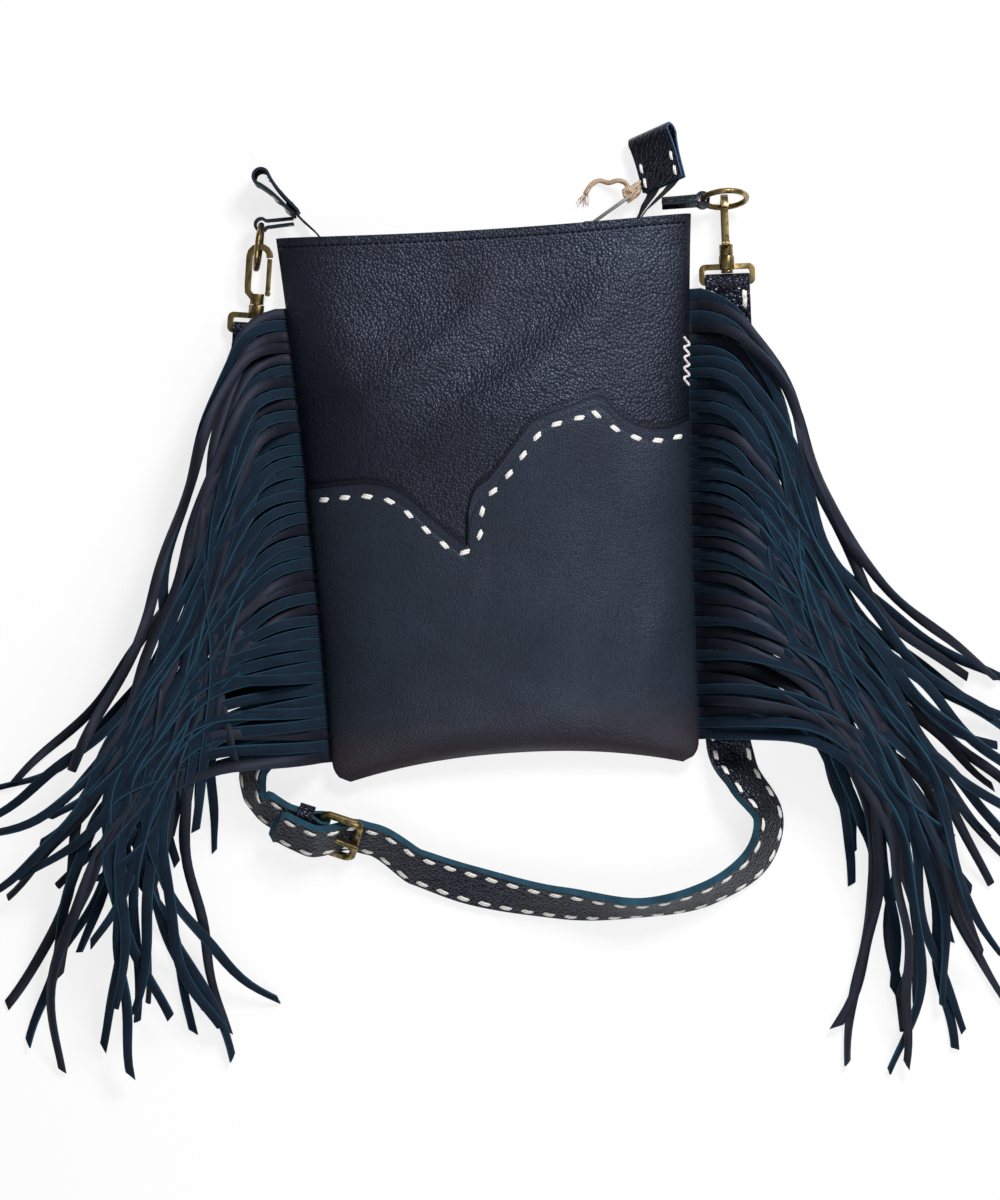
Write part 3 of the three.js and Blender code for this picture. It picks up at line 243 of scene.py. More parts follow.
suede_flesh = nap_leather("brushed_suede", "#040d17", "#0a1f2e", 0.95, 0.06, 0.4, 0.5, "#1c4153")
strip_grain = nap_leather("strip_grain_side", "#0a0b12", "#16161f", 0.62, 0.0, 0.15, 0.35,
                           "#11202c")
cut_edge = nap_leather("cut_leather_edge", "#0f2836", "#1d4355", 0.9, 0.06, 0.2, 0.4)
strap_edge = nap_leather("strap_edge", "#0e2a38", "#214c5d", 0.85, 0.1, 0.1, 0.5)
inked_edge = nap_leather("inked_edge", "#05090f", "#0c1a26", 0.7, 0.0, 0.1, 0.4)
tab_edge_painted_highlight = nap_leather("tab_edge_painted_highlight", "#0a1a30", "#24466f", 0.6, 0.1, 0.1, 0.4)

# %% [markdown]
# ## Metal, thread, tape and twine
# The rings and hooks are antique-finished brass: brown in the hollows and rubbed yellow where
# they are handled. The zip is nickel. The hand stitching is a waxed white cotton cord laid in
# two strands, and the zip's tape is a black herringbone that reads as a fine rib.

# %% Metal
def metal(name, deep, bright, roughness, spot_mm):
    made, tree, shader = start_material(name, roughness, 1.0)
    place = node(tree, "TexCoord").outputs["Object"]
    tarnish = node(tree, "TexNoise", {"Vector": place, "Scale": 1000 / spot_mm, "Detail": 5.0,
                                      "Roughness": 0.65}).outputs["Fac"]
    spread = ramp(tree, tarnish, 0.36, 0.62)
    gloss = ramp(tree, spread, 0.0, 1.0, roughness + 0.2, roughness)
    tree.links.new(gloss, shader.inputs["Roughness"])
    plated = blend(tree, spread, colour(deep), colour(bright))
    return coat(made, plated, tarnish, 0.12, 0.0003)


brass = metal("antique_brass", "#4c3d28", "#9c8a5e", 0.27, 5.0)
nickel = metal("zip_nickel", "#8f9193", "#d6d8da", 0.18, 7.0)


# %% Thread
def spun(name, deep, pale, strand_mm, roughness, gloss_tint=None):
    made, tree, _ = start_material(name, roughness, gloss_tint=gloss_tint)
    place = node(tree, "UVMap", uv_map="lay").outputs[0]
    slant = node(tree, "Mapping", {"Vector": place, "Rotation": (0, 0, 0.7)})
    strand = node(tree, "TexWave", {"Vector": slant.outputs[0], "Scale": 314.0 / strand_mm,
                                    "Distortion": 1.5, "Detail": 2.0})
    fuzz = node(tree, "TexNoise", {"Vector": place, "Scale": 900.0, "Detail": 3.0})
    both = maths(tree, "MULTIPLY_ADD", strand.outputs["Fac"], 0.6, fuzz.outputs["Fac"])
    dyed = blend(tree, ramp(tree, both, 0.3, 1.1), colour(deep), colour(pale))
    return coat(made, dyed, both, 0.6, 0.0002)


white_thread = spun("waxed_white_thread", "#bdbbb7", "#f2f0ec", 1.1, 0.6)
black_thread = spun("black_machine_thread", "#020305", "#080a10", 0.6, 0.7, "#5a6590")
jute = spun("jute_twine", "#7d6554", "#c4ab93", 1.2, 0.9)


# %% Zip tape
def woven_tape():
    made, tree, _ = start_material("woven_zip_tape", 0.85)
    waves = {"Vector": node(tree, "TexCoord").outputs["Object"], "Scale": 330.0, "Distortion": 0.6}
    rib, rows = [node(tree, "TexWave", waves, bands_direction=way).outputs["Fac"] for way in "XZ"]
    weave = maths(tree, "MAXIMUM", rib, rows)
    dyed = blend(tree, weave, colour("#08090b"), colour("#191b20"))
    return coat(made, dyed, weave, 0.5, 0.0003)


tape_weave = woven_tape()
print("materials", [m.name for m in bpy.data.materials][-14:])

# %% [markdown]
# ## Sheets of leather
# Nearly everything here is cut from sheet. `grid` starts a bmesh grid, moves each point to
# where the sheet lies, and keeps how far along and across it is in a UV map called lay.
# Solidify then gives the sheet its thickness, with its own material for the cut edge, and a
# narrow bevel rounds that edge as an edge slicker does. `sheet_piece` does it all in one go.

# %% Sheet builder
def lay_layer(bm):
    return bm.loops.layers.uv.get("lay") or bm.loops.layers.uv.new("lay")


def grid(bm, columns, rows, place, size, flip=False):
    """Adds one sheet to a bmesh: place(across, along) gives millimetres for shares 0 to 1."""
    lay = lay_layer(bm)
    new = bmesh.ops.create_grid(bm, x_segments=columns, y_segments=rows, size=0.5)["verts"]
    shares = {v: (v.co.x + 0.5, v.co.y + 0.5) for v in new}
    faces = {f for v in new for f in v.link_faces}
    for v, (across, along) in shares.items():
        v.co = Vector(place(across, along)) * MM
    for face in faces:
        for loop in face.loops:
            across, along = shares[loop.vert]
            loop[lay].uv = (across * size[0] * MM, along * size[1] * MM)
        face.smooth = True
    if flip:
        bmesh.ops.reverse_faces(bm, faces=list(faces))
    return new


def finish_piece(name, bm, materials, body, replaces=()):
    mesh = bpy.data.meshes.new(name)
    bm.to_mesh(mesh)
    bm.free()
    piece = bpy.data.objects.new(name, mesh)
    bpy.context.scene.collection.objects.link(piece)
    for made in materials:
        mesh.materials.append(made)
    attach(piece, body)
    if replaces:
        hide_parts(*replaces)
    return piece


def thicken(piece, thickness, offset=0.0, edge=0.0, back=0, rim=1):
    solid = piece.modifiers.new("thickness", "SOLIDIFY")
    solid.thickness = thickness * MM
    solid.offset = offset
    solid.material_offset = back
    solid.material_offset_rim = rim
    if edge:
        round_edge(piece, edge)
    return piece


def round_edge(piece, edge, segments=2):
    bevel = piece.modifiers.new("slicked_edge", "BEVEL")
    bevel.width = edge * MM
    bevel.segments = segments
    bevel.limit_method = "ANGLE"
    bevel.angle_limit = math.radians(40)
    bevel.harden_normals = True


def sheet_piece(name, columns, rows, place, size, materials, replaces, thickness, edge,
                offset=-1, flip=False):
    sheet = bmesh.new()
    grid(sheet, columns, rows, place, size, flip)
    piece = finish_piece(name, sheet, materials, "bag", replaces)
    return thicken(piece, thickness, offset, edge)


# %% [markdown]
# ## The shape of the bag
# The outline is wider at the top than at the foot, the front is crowned by what is inside,
# and the back is flat where it lies. These few formulas are the same ones that shaped the
# solids, so the leather sits where the solids are. `relax` adds the folds of slack leather,
# and every layer of the front takes the same folds.

# %% Bag shape
HALF_MIDDLE, HALF_SLOPE, HALF_BEND = 108.6, 7.1, 3.1
TOP_Y, TOP_SAG, CORNER_Y, BOTTOM_RISE, CORNER_RADIUS = 155, 3, -157, 11, 12
CROWN, MOUTH_SHARE, PANEL, SEAM_LIFT, CLEARANCE = 36, 0.5, 1.6, 5.4, 0.3
STRIP_WIDTH, STRIP_THICKNESS = 6.2, 1.6
LEFT_TOP_Y, RIGHT_TOP_Y, FRINGE_END_Y = 112, 109, -142
HEADER_Z = SEAM_LIFT + PANEL + CLEARANCE + STRIP_THICKNESS / 2


def half_width(y):
    share = y / TOP_Y
    return HALF_MIDDLE + HALF_SLOPE * share + HALF_BEND * share * share


def bottom_y(u):
    return CORNER_Y + BOTTOM_RISE * (1 - abs(u) ** 2.2)


def top_y(u):
    return TOP_Y - TOP_SAG * (1 - u * u)


def plan_x(u, y):
    up = clamp(CORNER_RADIUS - (y - bottom_y(u)), 0, CORNER_RADIUS)
    inset = CORNER_RADIUS - math.sqrt(CORNER_RADIUS ** 2 - up ** 2)
    return u * (half_width(y) - inset * 0.8)


def up_share(u, y):
    return clamp((y - bottom_y(u)) / (top_y(u) - bottom_y(u)))


SWAGS = (
    (2.6, 13, ((96, 150), (74, 112), (52, 90), (24, 68), (-8, 50), (-30, 34))),
    (1.9, 10, ((6, 134), (-10, 100), (-30, 84), (-50, 72), (-74, 62), (-92, 78), (-108, 98))),
    (-1.6, 12, ((62, 138), (36, 108), (8, 88), (-14, 70), (-40, 60))),
    (-1.4, 14, ((-90, 120), (-62, 104), (-40, 112))),
    (1.5, 12, ((92, -62), (84, -88), (72, -112))),
    (-1.2, 10, ((70, -60), (62, -92), (40, -120))),
    (1.0, 7, ((-92, -128), (-50, -133), (-10, -131))),
    (-0.9, 6, ((-88, -118), (-40, -122), (10, -120))),
)


def swag(x, y, height, wide, line):
    """A fold that runs along a line and fades out at both ends of it."""
    nearest, along = 1e9, 0.0
    for i, ((ax, ay), (bx, by)) in enumerate(zip(line, line[1:])):
        dx, dy = bx - ax, by - ay
        share = clamp(((x - ax) * dx + (y - ay) * dy) / (dx * dx + dy * dy))
        gap = math.hypot(x - ax - dx * share, y - ay - dy * share)
        if gap < nearest:
            nearest, along = gap, (i + share) / (len(line) - 1)
    if nearest > wide * 3:
        return 0.0
    return height * math.exp(-(nearest / wide) ** 2) * math.sin(math.pi * mix(0.1, 0.9, along))


def relax(x, y, u, v):
    """Swags that hang from the corners of the mouth, creases at the foot and a general slack."""
    hold = (1 - abs(u) ** 5) * smooth(v, 0, 0.1) * (1 - smooth(v, 0.9, 1))
    slack = 0.9 * math.sin(x / 31 + y / 47) * math.sin(y / 39 - x / 90 + 1.0)
    slack += 0.4 * math.sin(x / 17 - y / 29 + 2.0) * math.sin(y / 21 + x / 55)
    return hold * (slack + sum(swag(x, y, *fold) for fold in SWAGS))


def front_height(u, y):
    v = up_share(u, y)
    across = (1 - abs(u) ** mix(3, 5, smooth(v, 0.6, 1))) ** 0.62
    lower = (1 - (1 - v / 0.35) ** 3) ** 0.62 if v < 0.35 else 1
    upper = mix(1, MOUTH_SHARE, smooth(v, 0.6, 1))
    header = smooth(y, FRINGE_END_Y - 13, FRINGE_END_Y - 7)
    header *= 1 - smooth(y, RIGHT_TOP_Y + 10, RIGHT_TOP_Y + 30)
    edge = SEAM_LIFT + PANEL + CLEARANCE + (STRIP_THICKNESS + CLEARANCE) * header + PANEL
    x = plan_x(u, y)
    return edge + (CROWN - edge) * across * lower * upper + relax(x, y, u, v)


def back_height(u, y):
    v = up_share(u, y)
    side = smooth(abs(u), 0.78, 1) ** 1.5
    low = (1 - smooth(v, 0, 0.12)) ** 1.5
    return SEAM_LIFT * max(side, low)


def front_point(u, y, offset=0.0):
    return (plan_x(u, y), y, front_height(u, y) + offset)


def on_panel(a, b):
    """The side share u and the height y of a point at shares across and along a panel."""
    u = 2 * a - 1
    return u, mix(bottom_y(u), top_y(u), b)


def back_point(a, b):
    u, y = on_panel(a, b)
    return plan_x(u, y), y, back_height(u, y)


# %% Curves
def curve_point(points, share):
    """A centripetal Catmull-Rom curve through points, at a share from 0 to 1."""
    place = clamp(share) * (len(points) - 1)
    i = min(int(place), len(points) - 2)
    weight = place - i
    p1, p2 = points[i], points[i + 1]
    p0 = points[i - 1] if i > 0 else 2 * points[0] - points[1]
    p3 = points[i + 2] if i + 2 < len(points) else 2 * points[-1] - points[-2]
    d0, d1, d2 = [max((b - a).length ** 0.5, 1e-4) for a, b in ((p0, p1), (p1, p2), (p2, p3))]
    t1 = ((p1 - p0) / d0 - (p2 - p0) / (d0 + d1) + (p2 - p1) / d1) * d1
    t2 = ((p2 - p1) / d1 - (p3 - p1) / (d1 + d2) + (p3 - p2) / d2) * d1
    square = (3 * p2 - 3 * p1 - 2 * t1 - t2) * weight ** 2
    return p1 + t1 * weight + square + (2 * p1 - 2 * p2 + t1 + t2) * weight ** 3


def tangent_at(points, share):
    return (curve_point(points, share + 1e-3) - curve_point(points, share - 1e-3)).normalized()


YOKE_LINE = [Vector((x, y, 0)) for x, y in (
    (-112, 11), (-88, 12), (-71, 11.5), (-55, 5.5), (-40, -9.5), (-27, -21.5), (-20.5, -26.5),
    (-18.5, -8), (-13, 5), (-5.7, 10.1), (8, 26), (20.8, 41), (32, 46), (44, 49.8), (55, 53.5),
    (60, 52.8), (66, 46), (72, 40), (80, 35.5), (88, 33.5), (99, 34.5), (112, 40))]
yoke_samples = [curve_point(YOKE_LINE, i / 600) for i in range(601)]


def yoke_y(x):
    low, high = 0, len(yoke_samples) - 1
    while high - low > 1:
        middle = (low + high) // 2
        low, high = (middle, high) if yoke_samples[middle].x < x else (low, middle)
    a, b = yoke_samples[low], yoke_samples[high]
    return mix(a.y, b.y, clamp((x - a.x) / max(b.x - a.x, 1e-6)))


print("yoke from", round(yoke_y(-112), 1), "to", round(yoke_y(112), 1), "mm")

# %% [markdown]
# ## The panels and the western yoke
# The front is one panel. A second layer is laid over its lower half and cut to the yoke's
# stepped line, and a strip of the same leather peeks out above it. Each is a grid that
# follows the panel, a leather's thickness higher than the one below.

# %% Panels
UNDERLAY, OVERLAY, PEEK, LAP, STITCHED_IN, LAP_RISE = 0.8, 1.2, 3.2, 12, 7.4, 50
front = sheet_piece("front_leather", 96, 130, lambda a, b: front_point(*on_panel(a, b)),
                    (SHEET_WIDE, SHEET_TALL), [upper_grain, back_grain], ["front_panel"],
                    PANEL, 0.35)
back = sheet_piece("back_leather", 60, 80, back_point, (SHEET_WIDE, SHEET_TALL),
                   [back_grain, back_grain], ["back_panel"], PANEL, 0.35,
                   flip=True)


def lap_y(u):
    """The hidden lower edge of the peeking strip: lower than the yoke all round the notch."""
    near = [yoke_y((u + step * 0.012) * HALF_MIDDLE) for step in range(-8, 9)]
    lows = [min(near[i:i + 9]) for i in range(9)]
    return sum(lows) / len(lows) - LAP


def underlay_point(a, b):
    u = 2 * a - 1
    yoke = yoke_y(u * HALF_MIDDLE)
    return front_point(u, mix(lap_y(u), yoke + PEEK, b), CLEARANCE + UNDERLAY)


def overlay_point(a, b):
    u = 2 * a - 1
    yoke = yoke_y(u * HALF_MIDDLE)
    y = mix(bottom_y(u), yoke, 1 - (1 - b) ** 1.5)
    step = UNDERLAY + CLEARANCE
    groove = 0.3 * math.exp(-((y - yoke + STITCHED_IN) / 1.6) ** 2)
    curl = 0.35 * smooth(y, yoke - 2.5, yoke) - groove
    climb = step * smooth(y, lap_y(u) - LAP_RISE, lap_y(u))
    return front_point(u, y, CLEARANCE + OVERLAY + climb + curl)


underlay = sheet_piece("yoke_peek", 260, 6, underlay_point, (SHEET_WIDE, 16),
                       [peek_grain, inked_edge], ["yoke_underlay"], UNDERLAY, 0.2)
overlay = sheet_piece("yoke_leather", 260, 90, overlay_point, (SHEET_WIDE, 190),
                      [lower_grain, inked_edge], ["front_overlay"], OVERLAY, 0.3)
print("panels", [len(p.data.polygons) for p in (front, back, underlay, overlay)], "faces")

# %% [markdown]
# ## Stitches
# A running stitch is a row of short lengths of cord that dip into the leather at both ends.
# The cord is laid double. One strand is a small sphere stretched to a capsule and bent down
# at its tips, and a row copies the pair along a line. They are geometry, because a bump
# would vanish edge-on.

# %% Stitch builder
def stitch(bm, middle, along, up, length, radius):
    """Two strands side by side, each slanted a little across the row."""
    aside = up.cross(along).normalized()
    slanted = (along - aside * 0.12).normalized()
    for sign in (-1, 1):
        strand(bm, middle + aside * sign * radius * 0.4 + along * sign * length * 0.06, slanted, up,
               length * 0.95, radius * 0.72)


def strand(bm, middle, along, up, length, radius):
    lay = lay_layer(bm)
    new = bmesh.ops.create_uvsphere(bm, u_segments=8, v_segments=8, radius=1.0)["verts"]
    aside = up.cross(along).normalized()
    for v in new:
        x, y, z = v.co
        reach = math.copysign(length / 2 - radius, z) * smooth(abs(z), 0, 0.5) + z * radius
        dip = radius * (0.35 - 1.5 * abs(2 * reach / length) ** 4)
        v.co = (middle + along * reach + aside * x * radius + up * (y * radius * 0.8 + dip)) * MM
    for face in {f for v in new for f in v.link_faces}:
        face.smooth = True
        for loop in face.loops:
            offset = loop.vert.co - middle * MM
            loop[lay].uv = (offset.dot(aside), offset.dot(along))


def row_along(points, pitch, start=0.0):
    """Even places along a line of points: each gives its middle and its direction."""
    places, travelled, due = [], 0.0, start
    for a, b in zip(points, points[1:]):
        step = (b - a).length
        while step > 0 and due <= travelled + step:
            places.append((a.lerp(b, (due - travelled) / step), (b - a).normalized()))
            due += pitch
        travelled += step
    return places


# %% Stitches on the front
def front_line(samples):
    return [Vector(front_point(u, y, lift)) for u, y, lift in samples]


def stitched_row(bm, line, pitch, length, radius, start):
    for middle, along in row_along(line, pitch, start):
        aside = Vector((-along.y, along.x, 0)).normalized()
        stitch(bm, middle, along, along.cross(aside), length, radius)


YOKE_EVENED, PEAK_X, PEAK_WIDE, PEAK_DROP = 14, 56, 14, 3.5
STITCH_OUT = CLEARANCE * 2 + UNDERLAY + OVERLAY - 0.4
yoke_row = []
for i in range(4, 598):
    point = curve_point(YOKE_LINE, i / 600)
    along = tangent_at(YOKE_LINE, i / 600)
    drop = STITCHED_IN + PEAK_DROP * math.exp(-((point.x - PEAK_X) / PEAK_WIDE) ** 2)
    inner = point - Vector((-along.y, along.x, 0)) * drop
    u = inner.x / HALF_MIDDLE
    if abs(u) < 0.99:
        yoke_row.append((u, inner.y, STITCH_OUT))
spans = [yoke_row[max(i - YOKE_EVENED, 0):i + YOKE_EVENED + 1] for i in range(len(yoke_row))]
yoke_row = [tuple(sum(row[axis] for row in near) / len(near) for axis in range(3))
            for near in spans]
hem_row = [(u / 100, top_y(u / 100) - HEM_DOWN, 0.0) for u in range(-97, 98)]
for name, samples, thread, sizes in (
        ("yoke_stitches", yoke_row, white_thread, (13.3, 7.2, 1.25, 2)),
        ("hem_stitches", hem_row, black_thread, (3.6, 2.9, 0.42, 1))):
    bm = bmesh.new()
    stitched_row(bm, front_line(samples), *sizes)
    finish_piece(name, bm, [thread], "bag")
print("stitches made")

# %% [markdown]
# ## The straps
# The strap lies on edge along the table, so its route has a lean and a lift as well as a
# place. The same points as in the solids give it, and the stretch through the buckle is
# given beside the buckle: under the far bar, over the heel bar and on along the front.

# %% Strap route
STRAP_WIDTH, STRAP_THICKNESS, STRAP_EDGE_LIFT, STATION = 25.4, 4.4, 0.5, 3.0
LONG_STRAP = (
    (136.9, 107.1, 0, 5.5), (136.8, 88, 0, 2), (138, 55, 0, 0), (138, 10, 0, 0), (136, -40, 0, 0),
    (132, -90, -2, 0), (124, -128, -2, 0), (122, -150, -8, 0), (129, -169, -44, 0),
    (141.5, -191, -54, 0), (134, -214, -54, 0), (106, -232, -62, 0), (68, -238.5, -70, 0),
    (20, -233, -50, 0), (-30, -220, -36, 0), (-62, -207, -42, 0))
SHORT_STRAP = (
    (-135, 96, 0, 1.8), (-137.5, 76, 0, 0.4), (-138, 20, 0, 0), (-136, -40, 0, 0),
    (-134, -95, 4, 0), (-140, -128, 30, 0), (-150, -148, 58, 0), (-150, -163, 64, 0))
BUCKLE_CENTRE = Vector((-104, -187, 15.8))
HEEL_X, STRAP_TIP = -11, Vector((-142, -183.5, 17))
THREADED_LONG = ((24, -5), (14, -4.6), (9.4, -4.6), (6.5, -3.7), (-8.5, 7.6), (-13, 9.1),
                 (-18, 8.6), (-26, 7.4), (-33, 6.4))
THREADED_SHORT = ((-31, 0), (-26, 0), (-19.7, 0))


def leaning_aside(along, lean):
    flat = Vector((-along.y, along.x, 0)).normalized()
    up = along.cross(flat).normalized()
    return flat * math.cos(lean) + up * math.sin(lean)


buckle_along = Vector((0.93, -0.366, 0)).normalized()
buckle_aside = leaning_aside(buckle_along, math.radians(50))
buckle_face = buckle_along.cross(buckle_aside)


def buckle_point(x, out, across=0.0):
    return BUCKLE_CENTRE + buckle_along * x + buckle_face * out + buckle_aside * across


def strap_route(points, steps):
    plan = [Vector((x, y, 0)) for x, y, _, _ in points]
    stations = []
    for i in range(steps + 1):
        place = i / steps * (len(points) - 1)
        near = min(int(place), len(points) - 2)
        share = smooth(place - near, 0, 1)
        lean = math.radians(mix(points[near][2], points[near + 1][2], share))
        lift = mix(points[near][3], points[near + 1][3], share)
        half = (STRAP_WIDTH * abs(math.sin(lean)) + STRAP_THICKNESS * math.cos(lean)) / 2
        middle = curve_point(plan, i / steps) + Vector((0, 0, half + STRAP_EDGE_LIFT + lift))
        stations.append((middle, leaning_aside(tangent_at(plan, i / steps), lean)))
    return stations


def threaded(stations, places, sign, tip=None):
    """Runs the strap on through the buckle along a smooth curve."""
    through = [buckle_point(x, out) for x, out in places]
    points = [stations[-1][0]] + through + ([tip] if tip else [])
    last = stations[-1][1]
    steps = len(points) * 6
    for i in range(1, steps + 1):
        turn = smooth(i / steps, 0, 0.12)
        aside = last.lerp(buckle_aside * sign, turn).normalized()
        stations.append((curve_point(points, i / steps), aside))
    return stations


def even(stations, pitch):
    """The same route with stations at an even pitch."""
    made, travelled, due = [], 0.0, 0.0
    for (a, aside_a), (b, aside_b) in zip(stations, stations[1:]):
        step = (b - a).length
        while due <= travelled + step and step > 0:
            share = (due - travelled) / step
            made.append((a.lerp(b, share), aside_a.lerp(aside_b, share).normalized()))
            due += pitch
        travelled += step
    return made


long_route = even(threaded(strap_route(LONG_STRAP, 300), THREADED_LONG, -1, STRAP_TIP), STATION)
short_route = even(threaded(strap_route(SHORT_STRAP, 160), THREADED_SHORT, 1), STATION)
print("strap stations", len(long_route), len(short_route))


# %% Straps
STRAP_SKINS = [strap_grain, strap_edge]
STITCH_INSET, STITCH_PITCH, TIP_STATIONS = 3.4, 12.4, 4


def strap_piece(name, route, node_name, tip_length=0.0):
    count = len(route) - 1

    def place(a, b):
        middle, aside = route[round(b * count)]
        left = (1 - b) * count * STATION
        narrow = math.sqrt(clamp(1 - (1 - left / tip_length) ** 2)) if left < tip_length else 1
        return middle + aside * (a - 0.5) * STRAP_WIDTH * max(narrow, 0.25)

    return sheet_piece(name, 6, count, place, (STRAP_WIDTH, count * STATION), STRAP_SKINS,
                       [node_name], STRAP_THICKNESS, 0.8, offset=0)


def strap_stitches(name, route):
    rows = bmesh.new()
    for side in (-1, 1):
        edge = [middle + aside * side * (STRAP_WIDTH / 2 - STITCH_INSET) for middle, aside in route]
        for middle, along in row_along(edge[:len(edge) - TIP_STATIONS], STITCH_PITCH, 4):
            nearest = min(route, key=lambda station: (station[0] - middle).length_squared)
            face = along.cross(nearest[1]).normalized()
            for sign in (-1, 1):
                stitch(rows, middle + face * sign * STRAP_THICKNESS / 2, along, face * sign,
                       7.6, 1.15)
    return finish_piece(name, rows, [white_thread], "bag")


strap_piece("long_strap_leather", long_route, "strap_long", 9)
strap_piece("short_strap_leather", short_route, "strap_short")
strap_stitches("long_strap_stitches", long_route)
strap_stitches("short_strap_stitches", short_route)

# %% [markdown]
# ## Turned ends, the keeper and the tabs
# Where a strap ends it is split, folded round a bar and sewn down. The keeper is a band
# round the short strap, and the two tabs over the zip's ends are folded the same way.
# `folded` draws such a fold from the side as a line and carries it across its width.

# %% Folded leather
def place_matrix(origin, x_axis, z_axis):
    x, z = Vector(x_axis).normalized(), Vector(z_axis).normalized()
    y = z.cross(x).normalized()
    return Matrix((y.cross(z), y, z)).transposed().to_4x4(), Vector(origin)


def folded(name, line, width, thickness, matrix, materials, replaces, edge=0.4, closed=False):
    turn, origin = matrix
    points = [Vector((*p, 0)) for p in line]
    length = sum((b - a).length for a, b in zip(points, points[1:]))
    sheet = bmesh.new()
    grid(sheet, max(int(width / 3), 2), 48, lambda a, b: origin + turn @ (
        curve_point(points, b) + Vector((0, 0, (a - 0.5) * width))), (width, length), flip=True)
    if closed:
        bmesh.ops.remove_doubles(sheet, verts=sheet.verts, dist=1e-5)
    made = finish_piece(name, sheet, materials, "bag", replaces)
    return thicken(made, thickness, 0, edge)


def fold_line(bar, reach):
    ply = STRAP_THICKNESS / 4
    radius = bar * 0.75 + CLEARANCE + ply
    angles = [i / 8 * math.pi for i in range(9)]
    turn = [(math.cos(angle) * radius, -math.sin(angle) * radius) for angle in angles]
    return [(ply, reach), (ply + 0.4, reach - 3), *turn, (-ply - 0.4, reach - 3), (-ply, reach)]


LOOP_BAR, FOLD_REACH = 3.2, 9.5
LOOP_BAR_Y = -5 - 12 + LOOP_BAR / 2
HOOKS = {
    "left": {"swivel": Vector((-132, 118.5, 5.6)), "nose": Vector((0.13, 1, 0.06)).normalized()},
    "right": {"swivel": Vector((137.4, 130, 7.9)), "nose": Vector((0.02, 1, 0)).normalized()},
}


def strap_fold(name, matrix):
    folded(name, fold_line(LOOP_BAR, FOLD_REACH), STRAP_WIDTH - 0.3, STRAP_THICKNESS / 2 - 0.1,
           matrix, STRAP_SKINS, ())


for side, hook in HOOKS.items():
    nose = hook["nose"]
    bar = hook["swivel"] + nose * LOOP_BAR_Y
    aside = nose.cross(Vector((0, 0, 1)))
    face = aside.cross(nose)
    strap_fold(f"strap_fold_{side}", place_matrix(bar, (0, 0, 1), aside))
    rows = bmesh.new()
    for down, out, along in ((3.2, -6.5, aside), (3.2, 6.5, aside),
                             (7.4, -9.2, nose), (7.4, 9.2, nose)):
        middle = bar - nose * down + aside * out + face * (STRAP_THICKNESS / 2 + 0.5)
        stitch(rows, middle, along, face, 6.2, 1.25)
    finish_piece(f"strap_fold_stitches_{side}", rows, [white_thread], "bag")
strap_fold("strap_fold_buckle", place_matrix(buckle_point(HEEL_X, 0), -buckle_face, buckle_aside))

# %% Keeper
keeper_w, keeper_t, keeper_r = STRAP_WIDTH / 2 + 1.8, STRAP_THICKNESS / 2 + 1.8, 2.2
keeper_line = []
for cx, cy, start in ((1, 1, 0), (-1, 1, 90), (-1, -1, 180), (1, -1, 270)):
    for step in range(4):
        angle = math.radians(start + step * 30)
        keeper_line.append((cx * (keeper_w - keeper_r) + keeper_r * math.cos(angle),
                            cy * (keeper_t - keeper_r) + keeper_r * math.sin(angle)))
keeper_line.append(keeper_line[0])
keeper_matrix = place_matrix(buckle_point(-21, 0), buckle_aside, buckle_along)
folded("keeper_leather", keeper_line, 9, 1.6, keeper_matrix, STRAP_SKINS,
       ["strap_keeper"], closed=True)

# %% Zip tabs
TAPE, TAB_LENGTH, TAB_WIDTH, TAB_LEATHER = 0.8, 34, 27, 1.8
gap, bulge = TAPE / 2 + CLEARANCE + TAB_LEATHER / 2, 4.4
tab_line = [(0, gap), (TAB_LENGTH * 0.5, gap + 0.3)]
for i in range(9):
    angle = 2.2 - i / 8 * 4.4
    tab_line.append((TAB_LENGTH - bulge - TAB_LEATHER / 2 + math.cos(angle) * bulge,
                     math.sin(angle) * bulge))
tab_line += [(TAB_LENGTH * 0.5, -gap - 0.3), (0, -gap)]
TABS = {
    "left": ((-105.6, 167.7, 13.8), (-9, 10.5, 0), (0, 0, 1)),
    "right": ((104, 171, 19), (0.35, 0.93, 0.1), (0.82, 0.27, 0.5)),
}
for side, (origin, along, across) in TABS.items():
    matrix = place_matrix(origin, along, across)
    # Painted highlight: the right tab's edges get a lighter blue than the left tab's black edges.
    edge_skin = tab_edge_painted_highlight if side == "right" else inked_edge
    folded(f"zip_tab_leather_{side}", tab_line, TAB_WIDTH, TAB_LEATHER, matrix,
           [tab_grain, edge_skin], [f"zip_tab_{side}"])
    turn, start = matrix
    rows = bmesh.new()
    for face in (-1, 1):
        out = face * (gap + TAB_LEATHER / 2 + 0.2)
        for across_mm in (-TAB_WIDTH / 2 + 3.2, TAB_WIDTH / 2 - 3.2):
            for step in range(3):
                middle = start + turn @ Vector((5 + step * 9, out, across_mm))
                stitch(rows, middle, turn @ Vector((1, 0, 0)), turn @ Vector((0, face, 0)), 6, 0.8)
    finish_piece(f"zip_tab_stitches_{side}", rows, [white_thread], "bag")

# %% [markdown]
# ## Ring tabs
# A narrow tab of the same leather loops round each ring and runs to the seam.

